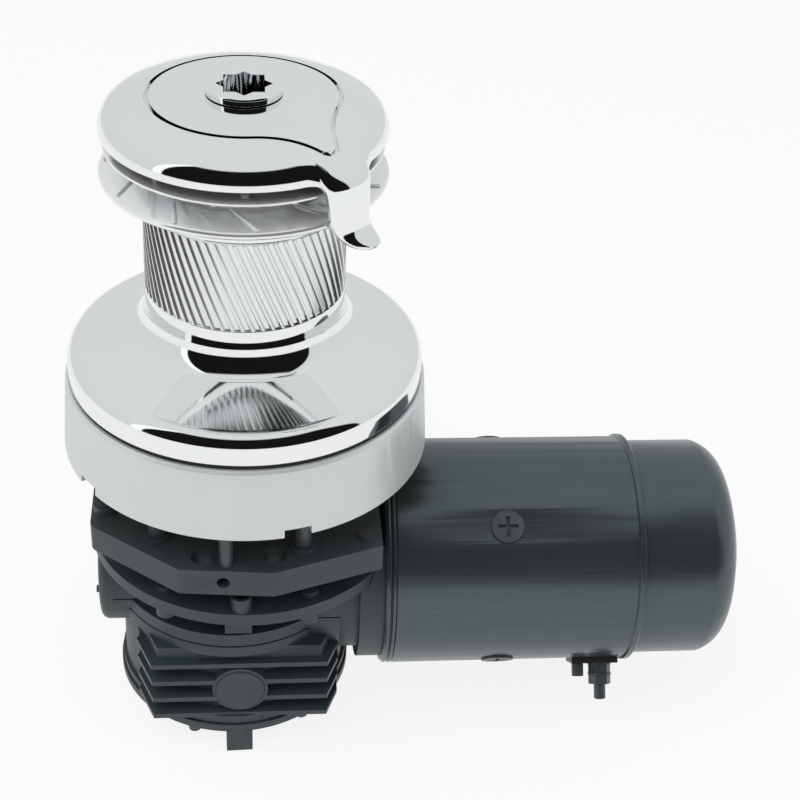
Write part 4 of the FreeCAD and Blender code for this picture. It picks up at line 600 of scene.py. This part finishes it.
@dataclass
class Drum:
    """Polished drum with its skirt and its helically ribbed waist."""

    rim_radius: float = 82.4
    bottom: float = 38.0
    shoulder_height: float = 48.8
    slope: tuple[float, float] = (53.0, 61.5)
    neck_radius: float = 45.5
    neck_height: float = 76.0
    grip_bottom: float = 83.0
    grip_top: float = 125.0
    top_radius: float = 48.0
    top: float = 131.0
    bore: float = 34.0
    ribs: int = 64
    rib_height: float = 1.1
    rib_taper: float = 0.5           # how much the grip narrows towards its top
    helix: float = 22.0              # slant of the ribs in degrees
    core_depth: float = 2.5          # from the neck's surface to the core under the grip
    grip_root: float = 2.0           # how far the grip's ends run in under the neck
    levels: int = 22
    rib_form: tuple[tuple[float, float], ...] = (   # share of the pitch and of the height
        (0.0, 0.0), (0.42, 0.0), (0.54, 0.75), (0.60, 1.0), (0.80, 1.0), (0.88, 0.6))

    def outline(self) -> list[Step]:
        """Outline of the drum without its grip."""
        core = self.neck_radius - self.core_depth
        return [Step(self.bore + 40.0, self.bottom),
                Step(self.rim_radius, self.bottom, ease=0.5),
                Step(self.rim_radius, 45.0),
                Step(75.0, 52.0, via=(80.6, 49.7), parts=20),
                Step(*self.slope),
                Step(self.neck_radius, self.neck_height, via=(47.2, 66.6), parts=24),
                Step(self.neck_radius, self.grip_bottom, ease=0.4),
                Step(core, self.grip_bottom + 0.4),
                Step(core, self.grip_top),
                Step(self.neck_radius - 0.6, self.grip_top, ease=0.4),
                Step(self.top_radius, self.grip_top + 3.0, ease=0.8),
                Step(self.top_radius, self.top),
                Step(self.bore, self.top),
                Step(self.bore, self.bottom + 20.0)]

    def grip(self, bm: bmesh.types.BMesh) -> None:
        """Draws the ribbed waist, a toothed ring drawn out of the core, up and round, and back in.

        Args:
            bm: The waist's mesh.
        """
        height = self.grip_top - self.grip_bottom
        twist = height * math.tan(math.radians(self.helix)) / self.neck_radius
        low = self.neck_radius - self.rib_height
        inner = (low - self.grip_root) / low
        ring = bmesh.ops.create_circle(bm, segments=self.ribs * len(self.rib_form), radius=low * MM)["verts"]
        pitch = math.tau / self.ribs
        for k, vert in enumerate(ring):
            rib, place = divmod(k, len(self.rib_form))
            share, lift = self.rib_form[place]
            radius = (low + self.rib_height * lift) * MM * inner
            vert.co = Matrix.Rotation(pitch * (rib + share), 3, "Z") @ Vector((radius, 0, 0))
        bmesh.ops.translate(bm, verts=ring, vec=(0, 0, self.grip_bottom * MM))
        edges = list({e for v in ring for e in v.link_edges})
        level = 1.0 / self.levels
        shrink = 1.0 - self.rib_taper * level / self.neck_radius
        for rise, factor in [(0.0, 1.0 / inner)] + [(level, shrink)] * self.levels + [(0.0, inner)]:
            drawn = bmesh.ops.extrude_edge_only(bm, edges=edges)["geom"]
            verts = [g for g in drawn if isinstance(g, bmesh.types.BMVert)]
            edges = [g for g in drawn if isinstance(g, bmesh.types.BMEdge)]
            bmesh.ops.translate(bm, verts=verts, vec=(0, 0, height * rise * MM))
            bmesh.ops.rotate(bm, verts=verts, cent=(0, 0, 0), matrix=Matrix.Rotation(-twist * rise, 3, "Z"))
            bmesh.ops.scale(bm, verts=verts, vec=(factor, factor, 1.0))
        bmesh.ops.recalc_face_normals(bm, faces=bm.faces)

    def build(self) -> None:
        """Turns the drum and sets its grip."""
        bm = bmesh.new()
        draw_outline(bm, self.outline())
        turn_round(bm)
        stand_for(finished(bm, "drum_shell", 28.0), Slot.CHROME, "drum")
        bm = bmesh.new()
        self.grip(bm)
        stand_for(finished(bm, "drum_grip", 28.0), Slot.CHROME, "drum", finish=WORN_CHROME)


@dataclass
class Jaws:
    """Fixed lower jaw and sprung upper jaw with their slim slanted ribs."""

    bore: float = 31.0
    bottom: float = 131.0
    collar_radius: float = 45.5
    collar_top: float = 156.2
    lower_rim: float = 62.0
    upper_bore: float = 45.8
    upper_rim: float = 60.8
    upper_top: float = 153.4
    ribs: int = 11
    lower_phase: float = -162.5      # azimuth in degrees at which the first rib starts
    upper_phase: float = -146.5
    rib_width: float = 1.8
    rib_ease: float = 0.4
    lower_height: float = 1.4        # thickness of the ribs
    upper_height: float = 1.0
    lean: float = 12.0               # azimuth that a rib gains on its way out

    def rib_bars(self, bm: bmesh.types.BMesh, ends: tuple[Vector, Vector], height: float, phase: float) -> None:
        """Adds slanted bars round a jaw's face.

        Args:
            bm: The jaw's mesh.
            ends: Radius and height of a bar's inner and outer end.
            height: How thick the bars are.
            phase: Angle of the first bar's inner end in degrees.
        """
        inner = ends[0]
        outer = Matrix.Rotation(math.radians(self.lean), 3, "Z") @ ends[1]
        along = (outer - inner).normalized()
        across = Vector((0, 0, 1)).cross(along).normalized()
        axes = Matrix((along, across, along.cross(across))).transposed().to_4x4()
        for k in range(self.ribs):
            bar = bmesh.ops.create_cube(bm, size=1.0)["verts"]
            size = ((outer - inner).length * MM, self.rib_width * MM, height * MM)
            bmesh.ops.scale(bm, verts=bar, vec=size)
            edges = list({e for v in bar for e in v.link_edges})
            made = bmesh.ops.bevel(bm, geom=edges, offset=self.rib_ease * MM, segments=3, profile=0.5,
                                   affect="EDGES", material=-1)
            bar = list(set(made["verts"]) | {v for f in made["faces"] for v in f.verts})
            turn = Matrix.Rotation(math.radians(phase + 360.0 * k / self.ribs), 4, "Z")
            bmesh.ops.transform(bm, matrix=turn @ Matrix.Translation((inner + outer) / 2 * MM) @ axes, verts=bar)

    def build(self) -> None:
        """Turns both jaws and sets their ribs."""
        bm = bmesh.new()
        draw_outline(bm, [Step(self.bore, self.bottom), Step(46.5, self.bottom, ease=0.5), Step(48.0, 132.6),
                          Step(self.lower_rim, 137.6, ease=0.6), Step(self.lower_rim, 141.0, via=(63.2, 139.3)),
                          Step(self.collar_radius, 143.6, ease=1.0), Step(self.collar_radius, self.collar_top),
                          Step(self.bore, self.collar_top)])
        turn_round(bm)
        self.rib_bars(bm, (Vector((47.0, 0, 143.9)), Vector((61.4, 0, 141.6))), self.lower_height, self.lower_phase)
        stand_for(finished(bm, "lower_jaw_dish"), Slot.CHROME, "lower_jaw", finish=FACED_CHROME)
        bm = bmesh.new()
        draw_outline(bm, [Step(self.upper_bore, 147.0), Step(self.upper_rim, 152.2, ease=0.4),
                          Step(self.upper_rim, self.upper_top, ease=0.3), Step(self.upper_bore, self.upper_top)])
        turn_round(bm)
        self.rib_bars(bm, (Vector((48.0, 0, 147.5)), Vector((59.6, 0, 151.5))), self.upper_height, self.upper_phase)
        stand_for(finished(bm, "upper_jaw_dish"), Slot.CHROME, "upper_jaw", finish=FACED_CHROME)


def smooth(value: float, low: float, high: float) -> float:
    """A smooth step from 0 at low to 1 at high."""
    share = min(1.0, max(0.0, (value - low) / (high - low)))
    return share * share * (3.0 - 2.0 * share)


def between(value: float, stops: Sequence[tuple[float, float]]) -> float:
    """Value of a smooth curve that runs through stops.

    Args:
        value: Where it is read.
        stops: Pairs of a place and a value, in rising order of place.

    Returns:
        The value there.
    """
    if value <= stops[0][0]:
        return stops[0][1]
    for k, ((x0, y0), (x1, y1)) in enumerate(zip(stops, stops[1:])):
        if value <= x1:
            before, after = stops[max(0, k - 1)], stops[min(len(stops) - 1, k + 2)]
            leave = (y1 - before[1]) / (x1 - before[0]) * (x1 - x0)
            arrive = (after[1] - y0) / (after[0] - x0) * (x1 - x0)
            t = (value - x0) / (x1 - x0)
            return (y0 + t * leave + t * t * (3.0 * (y1 - y0) - 2.0 * leave - arrive)
                    + t ** 3 * (leave + arrive - 2.0 * (y1 - y0)))
    return stops[-1][1]


@dataclass
class Arm:
    """Self-tailing arm whose rim runs down into the line guide, its inset cover and the handle socket."""

    rim: float = 62.5                # outer radius
    inner_rim: float = 58.5
    lip: float = 158.8               # height of the rim's lower edge
    shoulder: float = 9.88           # radius of the rolled shoulder
    shoulder_middle: float = 160.32
    shoulder_top: float = 169.6
    guide_clear: float = 64.9        # inner radius of the guide, outside the jaws
    guide_depth: float = 5.0
    flare: float = 6.2               # how far the guide's foot turns out
    foot_top: float = 138.0          # height at which the foot begins
    foot_height: float = 9.5
    edge_round: float = 1.2          # height of the rounded lower edge
    skin_rows: int = 60
    skin_low: float = 129.8
    inner_rows: int = 26
    guide_from: float = -70.0        # azimuths in degrees between which the rim is drawn out
    guide_to: float = -29.0
    plain_steps: int = 208           # columns of the plain rim and of the guide
    guide_steps: int = 190
    socket_bore: float = 15.8
    collar_bore: float = 24.1
    collar_radius: float = 28.0
    cover_radius: float = 40.5
    cover_tip: tuple[float, float] = (35.2, -45.0)
    tip_radius: float = 4.2
    groove: float = 1.8
    cover_floor: float = 167.8
    bottom_stops: tuple[tuple[float, float], ...] = (
        (-66.0, 158.8), (-62.5, 158.4), (-60.6, 156.8), (-59.6, 153.0), (-58.8, 147.0), (-58.0, 141.0),
        (-56.6, 137.0), (-54.8, 133.8), (-52.5, 131.3), (-50.0, 129.8), (-47.5, 128.9), (-45.0, 128.6),
        (-42.6, 128.6), (-41.2, 129.4), (-40.3, 131.6), (-39.7, 137.0), (-39.1, 146.0), (-38.4, 153.5),
        (-37.2, 157.4), (-35.0, 158.6), (-33.0, 158.8))
    left_stops: tuple[tuple[float, float], ...] = (
        (128.6, -46.5), (130.0, -50.0), (131.5, -52.8), (134.0, -55.0), (137.0, -56.8), (141.0, -58.3),
        (147.0, -59.2), (153.0, -60.2), (157.0, -61.5))
    right_edge: float = -38.9

    def top_side(self) -> list[Step]:
        """Top of the arm, from the socket's bore out to the shoulder."""
        return [Step(self.socket_bore, 174.85),
                Step(30.0, 174.2, via=(23.0, 174.62), parts=6),
                Step(56.0, self.shoulder_top, via=(45.0, 172.9), parts=20)]

    def under_side(self) -> list[Step]:
        """Underside of the arm, from its rim in to the socket's bore."""
        return [Step(self.inner_rim, 162.0), Step(50.5, 166.0), Step(self.collar_radius, 167.0),
                Step(self.collar_radius, self.lip), Step(self.collar_bore, self.lip),
                Step(self.collar_bore, 161.2), Step(self.socket_bore, 161.2)]

    def bulge(self, angle: float, height: float) -> float:
        """How far the guide stands out from its inner radius.

        Args:
            angle: Azimuth in degrees.
            height: Height in millimetres.

        Returns:
            The distance in millimetres.
        """
        left = between(height, self.left_stops)
        middle, half = (left + self.right_edge) / 2, (self.right_edge - left) / 2
        place = min(1.0, abs(angle - middle) / half)
        return self.guide_depth * (1.0 - place ** 2.6) ** 0.5

    def foot(self, height: float) -> float:
        """Share of the foot's flare at a height, from 0 above the foot to 1 at its end."""
        return smooth(self.foot_top - height, 0.0, self.foot_height)

    def skin_radius(self, angle: float, height: float) -> float:
        """Radius of the arm's outer skin.

        Args:
            angle: Azimuth in degrees.
            height: Height in millimetres.

        Returns:
            The radius in millimetres.
        """
        lift = min(1.0, max(0.0, (height - self.shoulder_middle) / self.shoulder))
        plain = self.rim - self.shoulder * (1.0 - math.sqrt(1.0 - lift * lift))
        wide = smooth(angle, -67.0, -58.0) * (1.0 - smooth(angle, -40.0, -31.0))
        stand = self.guide_clear + self.bulge(angle, height) - self.rim
        spread = stand + self.foot(height) * self.flare
        return plain + wide * spread * smooth(self.shoulder_top - height, 0.0, 13.0)

    def column(self, angle: float) -> list[Vector]:
        """Points of the rim from the shoulder down its outside and up its inside.

        Args:
            angle: Azimuth in degrees.

        Returns:
            Radius and height of each, in the order of the outline.
        """
        bottom = between(angle, self.bottom_stops)
        deep = min(1.0, (self.lip - bottom) / 4.0)
        points = []
        for k in range(1, self.skin_rows + 1):
            drop = (self.shoulder_top - self.skin_low) * k / self.skin_rows
            height = max(bottom + self.edge_round, self.shoulder_top - drop)
            points.append((self.skin_radius(angle, height), height))
        low = points[-1][0]
        points += [(low - 0.15, bottom + 0.6), (low - 0.5, bottom + 0.2), (low - 1.1, bottom)]
        inner_low = self.inner_rim + deep * (max(self.guide_clear, low - 3.0) - self.inner_rim)
        for k in range(1, self.inner_rows + 1):
            share = k / self.inner_rows
            rise = smooth(share, 0.0, 0.75)
            height = bottom + (self.lip - bottom) * rise
            radius = inner_low + (self.guide_clear - inner_low) * (1.0 - self.foot(height)) * deep
            back = smooth(share, 0.7, 1.0)
            points.append((radius + (self.inner_rim - radius) * back, height))
        return [Vector((radius, 0, height)) for radius, height in points]

    def draw_rim(self, bm: bmesh.types.BMesh) -> list[bmesh.types.BMVert]:
        """Draws the outline with the rim's rows, to be set by azimuth once it is spun.

        Args:
            bm: The mesh.

        Returns:
            The rim's points in order.
        """
        draw_outline(bm, self.top_side())
        chain = max(bm.verts, key=lambda v: v.co.x)
        for edge in [e for e in bm.edges if e.calc_length() > 0.03]:
            bm.edges.remove(edge)
        rows = []
        for point in self.column(0.0):
            there = bm.verts.new(point * MM)
            bm.edges.new((chain, there))
            chain = there
            rows.append(there)
        for step in self.under_side():
            there = bm.verts.new((step.radius * MM, 0, step.height * MM))
            bm.edges.new((chain, there))
            chain = there
        first = min(bm.verts, key=lambda v: (v.co.x, -v.co.z))
        bm.edges.new((chain, first))
        return rows

    def casting(self) -> bpy.types.Object:
        """Spins the arm and draws its rim out into the line guide.

        Returns:
            The casting without the cover's seat.
        """
        bm = bmesh.new()
        mark = bm.verts.layers.int.new("row")
        rows = self.draw_rim(bm)
        for number, vert in enumerate(rows, 1):
            vert[mark] = number
        loop = bm.verts[:] + bm.edges[:]
        start = math.radians(self.guide_to)
        bmesh.ops.rotate(bm, verts=bm.verts, cent=(0, 0, 0), matrix=Matrix.Rotation(start, 3, "Z"))
        span = math.radians(self.guide_to - self.guide_from)
        wide = bmesh.ops.spin(bm, geom=loop, cent=(0, 0, 0), axis=(0, 0, 1), angle=math.tau - span,
                              steps=self.plain_steps)
        bmesh.ops.spin(bm, geom=wide["geom_last"], cent=(0, 0, 0), axis=(0, 0, 1), angle=span,
                       steps=self.guide_steps)
        for vert in bm.verts:
            angle = math.degrees(math.atan2(vert.co.y, vert.co.x))
            if vert[mark] and self.guide_from < angle < self.guide_to:
                point = self.column(angle)[vert[mark] - 1]
                vert.co = Matrix.Rotation(math.radians(angle), 3, "Z") @ point * MM
        bmesh.ops.remove_doubles(bm, verts=bm.verts, dist=1e-6)
        bmesh.ops.recalc_face_normals(bm, faces=bm.faces)
        return finished(bm, "feeder_arm_casting", 38.0)

    def teardrop(self) -> bpy.types.Object:
        """Makes the block that is cut out of the arm for its cover.

        Returns:
            The block.
        """
        away = math.hypot(*self.cover_tip)
        big, small = self.cover_radius + self.groove, self.tip_radius + self.groove
        start = (big * math.cos(math.radians(36.0)), big * math.sin(math.radians(36.0)))
        tip_side = math.radians(50.0)
        near = (away - self.tip_radius + small * math.cos(tip_side), small * math.sin(tip_side))
        hollow = ((start[0] + near[0]) / 2 - 0.4, (start[1] + near[1]) / 2 - 2.4)
        bm = bmesh.new()
        draw_outline(bm, [Step(*start), Step(start[0], -start[1], via=(-big, 0.0), parts=120),
                          Step(near[0], -near[1], via=(hollow[0], -hollow[1]), parts=24),
                          Step(*near, via=(away - self.tip_radius + small, 0.0), parts=20),
                          Step(*start, via=hollow, parts=24)])
        bmesh.ops.remove_doubles(bm, verts=bm.verts, dist=1e-6)
        flat = Matrix.Rotation(math.atan2(self.cover_tip[1], self.cover_tip[0]), 4, "Z")
        laid = Matrix.Rotation(-math.pi / 2, 4, "X")
        bm.transform(Matrix.Translation((0, 0, self.cover_floor * MM)) @ flat @ laid)
        face = bmesh.ops.contextual_create(bm, geom=bm.edges)["faces"]
        drawn = bmesh.ops.extrude_face_region(bm, geom=face)["geom"]
        bmesh.ops.translate(bm, verts=[g for g in drawn if isinstance(g, bmesh.types.BMVert)], vec=(0, 0, 0.012))
        bmesh.ops.recalc_face_normals(bm, faces=bm.faces)
        return finished(bm, "cover_seat")

    def build(self) -> None:
        """Turns the arm, cuts the seat of its cover, and eases the cover and the socket."""
        arm = carved(self.casting(), self.teardrop())
        ease_edges(arm, 0.45, 40.0)
        stand_for(arm, Slot.CHROME, "feeder_arm")
        stand_for(eased_copy("arm_cover", "arm_cover_plate", 0.6), Slot.CHROME, "arm_cover")
        stand_for(eased_copy("handle_socket", "handle_socket_collar", 0.2), Slot.CHROME, "handle_socket")


@dataclass
class Gearbox:
    """Castings under the deck."""

    edges: dict[str, float] = field(default_factory=lambda: {
        "mount_bracket": 0.9, "gearbox_top": 0.7, "gear_case": 0.7, "bottom_cover": 0.7, "motor_adapter": 0.8,
        "worm_end_cap": 0.8, "case_plug": 0.8})

    def build(self) -> None:
        """Eases the castings' edges."""
        for node, edge in self.edges.items():
            stand_for(eased_copy(node, node + "_casting", edge), Slot.CASTING, node)


@dataclass
class Motor:
    """Motor can, front plate and end cap."""

    edge: float = 0.4

    def build(self) -> None:
        """Eases the motor's shells."""
        for node, name in (("motor_can", "motor_can_shell"), ("motor_end_cap", "motor_end_shell"),
                           ("motor_front", "motor_front_plate")):
            stand_for(eased_copy(node, name, self.edge), Slot.MOTOR, node)


@dataclass
class Studio:
    """Camera at the photograph's angle, pale floor, soft lamps and the room that polished metal shows."""

    elevation: float = 34.566
    turn: float = 6.470
    roll: float = 3.160
    focal_pixels: float = 1679.226
    image_pixels: float = 800.0
    aside: float = -74.0768
    below: float = -13.0492
    distance: float = 811.102
    sensor: float = 36.0
    floor_size: float = 8000.0
    front: tuple[float, float] = (-0.1127, -0.9936)     # level direction from the winch to the camera
    left_edge: tuple[float, float] = (0.545, 0.839)     # weights, sideways and forward, that tell a side's edge
    right_edge: tuple[float, float] = (-0.242, 0.970)
    window_edge: tuple[float, float] = (0.423, 0.906)
    lamps: tuple[tuple[str, Rgb, float, float], ...] = (   # name, place in metres, width in metres, watts
        ("lamp_above", (-0.5, -0.6, 1.5), 1.4, 16.0),
        ("lamp_right", (1.5, -0.6, 0.6), 1.0, 4.0))

    def camera(self) -> None:
        """Makes the camera."""
        lift, turn, roll = (math.radians(a) for a in (self.elevation, self.turn, self.roll))
        right = Vector((1, 0, 0))
        ahead = Vector((0, math.cos(lift), -math.sin(lift)))
        up = Vector((0, math.sin(lift), math.cos(lift)))
        across = right * math.cos(roll) + up * math.sin(roll)
        upward = up * math.cos(roll) - right * math.sin(roll)
        place = -(self.aside * across + self.below * upward + self.distance * ahead)
        axes = Matrix((across, upward, -ahead)).transposed().to_4x4()
        data = bpy.data.cameras.new("camera")
        data.sensor_width = self.sensor
        data.lens = self.focal_pixels / self.image_pixels * self.sensor
        data.clip_start, data.clip_end = 0.01, 100.0
        eye = bpy.data.objects.new("camera", data)
        eye.matrix_world = Matrix.Rotation(-turn, 4, "Z") @ Matrix.Translation(place * MM) @ axes
        bpy.context.scene.collection.objects.link(eye)
        bpy.context.scene.camera = eye

    def floor(self) -> None:
        """Makes the pale floor, which keeps the shadow but shows white to the camera."""
        bm = bmesh.new()
        bmesh.ops.create_grid(bm, x_segments=1, y_segments=1, size=self.floor_size / 2 * MM)
        bmesh.ops.translate(bm, verts=bm.verts, vec=(0, 0, CAD_BOX[0].z - 0.0002))
        ground = finished(bm, "floor")
        made = bpy.data.materials.new("pale_floor")
        made.use_nodes = True
        shader = Shader(made.node_tree)
        ray = shader.node("ShaderNodeLightPath", {}, {}, "Is Camera Ray")
        glossy = shader.node("ShaderNodeLightPath", {}, {}, "Is Glossy Ray")
        clear = shader.node("ShaderNodeLightPath", {}, {}, "Is Transmission Ray")
        paint = shader.node("ShaderNodeBsdfDiffuse", {}, {"Color": (0.86, 0.86, 0.86, 1.0)})
        glow = shader.node("ShaderNodeEmission", {}, {"Color": (1.0, 1.0, 1.0, 1.0), "Strength": 1.0})
        share = (ray + clear) * 0.86 + glossy * 0.85
        mixed = shader.node("ShaderNodeMixShader", {}, {0: share, 1: paint, 2: glow})
        shader.node("ShaderNodeOutputMaterial", {}, {"Surface": mixed})
        ground.data.materials.append(made)

    def lamp(self, name: str, place: Rgb, size: float, power: float) -> None:
        """Adds a soft square lamp that faces the winch.

        Args:
            name: Name of the lamp.
            place: Where it hangs, in metres.
            size: Its width in metres.
            power: Its power in watts.
        """
        data = bpy.data.lights.new(name, "AREA")
        data.size = size
        data.energy = power
        lit = bpy.data.objects.new(name, data)
        lit.location = place
        lit.rotation_mode = "QUATERNION"
        lit.rotation_quaternion = (Vector(place) * -1.0).to_track_quat("-Z", "Y")
        lit.visible_glossy = False
        bpy.context.scene.collection.objects.link(lit)

    def room(self) -> None:
        """Makes the world: white to the camera, plain to matt surfaces, a studio with a dark front to metal."""
        world = bpy.data.worlds.new("studio")
        bpy.context.scene.world = world
        world.use_nodes = True
        shader = Shader(world.node_tree)
        way = shader.node("ShaderNodeTexCoord", {}, {}, "Generated")
        x, y, z = shader.split(way)
        ahead = x * self.front[0] + y * self.front[1]
        aside = x * -self.front[1] + y * self.front[0]
        from_left = shader.ramp(aside * self.left_edge[0] + ahead * self.left_edge[1], -0.012, 0.012)
        to_right = shader.ramp(aside * self.right_edge[0] + ahead * self.right_edge[1], -0.02, 0.02)
        level_band = shader.ramp(z, -0.36, -0.33) * (1.0 - shader.ramp(z, 0.86, 0.92))
        dark = level_band * from_left * to_right
        past_window = shader.ramp(aside * self.window_edge[0] + ahead * self.window_edge[1], -0.02, 0.02)
        window = shader.ramp(aside * -1.0, 0.05, 0.08) * ((1.0 - from_left) * past_window * level_band)
        sky = 0.76 + shader.ramp(z, 0.2, 1.0) * 0.04 + window * 0.40
        level = sky * (1.0 - dark * 0.99)
        polished = shader.node("ShaderNodeCombineColor", {}, {0: level * 0.985, 1: level, 2: level})
        camera_ray = shader.node("ShaderNodeLightPath", {}, {}, "Is Camera Ray")
        glossy_ray = shader.node("ShaderNodeLightPath", {}, {}, "Is Glossy Ray")
        plain = shader.blend(camera_ray, (0.55, 0.56, 0.57, 1.0), (1.0, 1.0, 1.0, 1.0))
        colour = shader.blend(glossy_ray, plain, polished)
        glow = shader.node("ShaderNodeBackground", {}, {"Color": colour, "Strength": 1.0})
        shader.node("ShaderNodeOutputWorld", {}, {"Surface": glow})

    def build(self) -> None:
        """Sets up the whole studio."""
        self.camera()
        self.floor()
        self.room()
        for lamp in self.lamps:
            self.lamp(*lamp)
        bpy.context.scene.view_settings.view_transform = "Standard"


def dress_rest() -> None:
    """Gives every CAD node that is still shown the finish of its slot."""
    for row in frame["record"]["subparts"]:
        node = frame["nodes"][row["node"]]
        if node.hide_render:
            continue
        material = FINISHES[Slot(row["material_slot"])].material()
        for place in node.material_slots:
            place.material = material
        log.info("%s keeps its CAD shape in %s", node.name, row["material_slot"])


def main() -> None:
    """Builds the winch's surfaces and the studio."""
    logging.basicConfig(level=logging.INFO, format="%(message)s")
    for group in (DeckBase(), Drum(), Jaws(), Arm(), Gearbox(), Motor()):
        group.build()
    dress_rest()
    Studio().build()


if __name__ == "__main__":
    main()
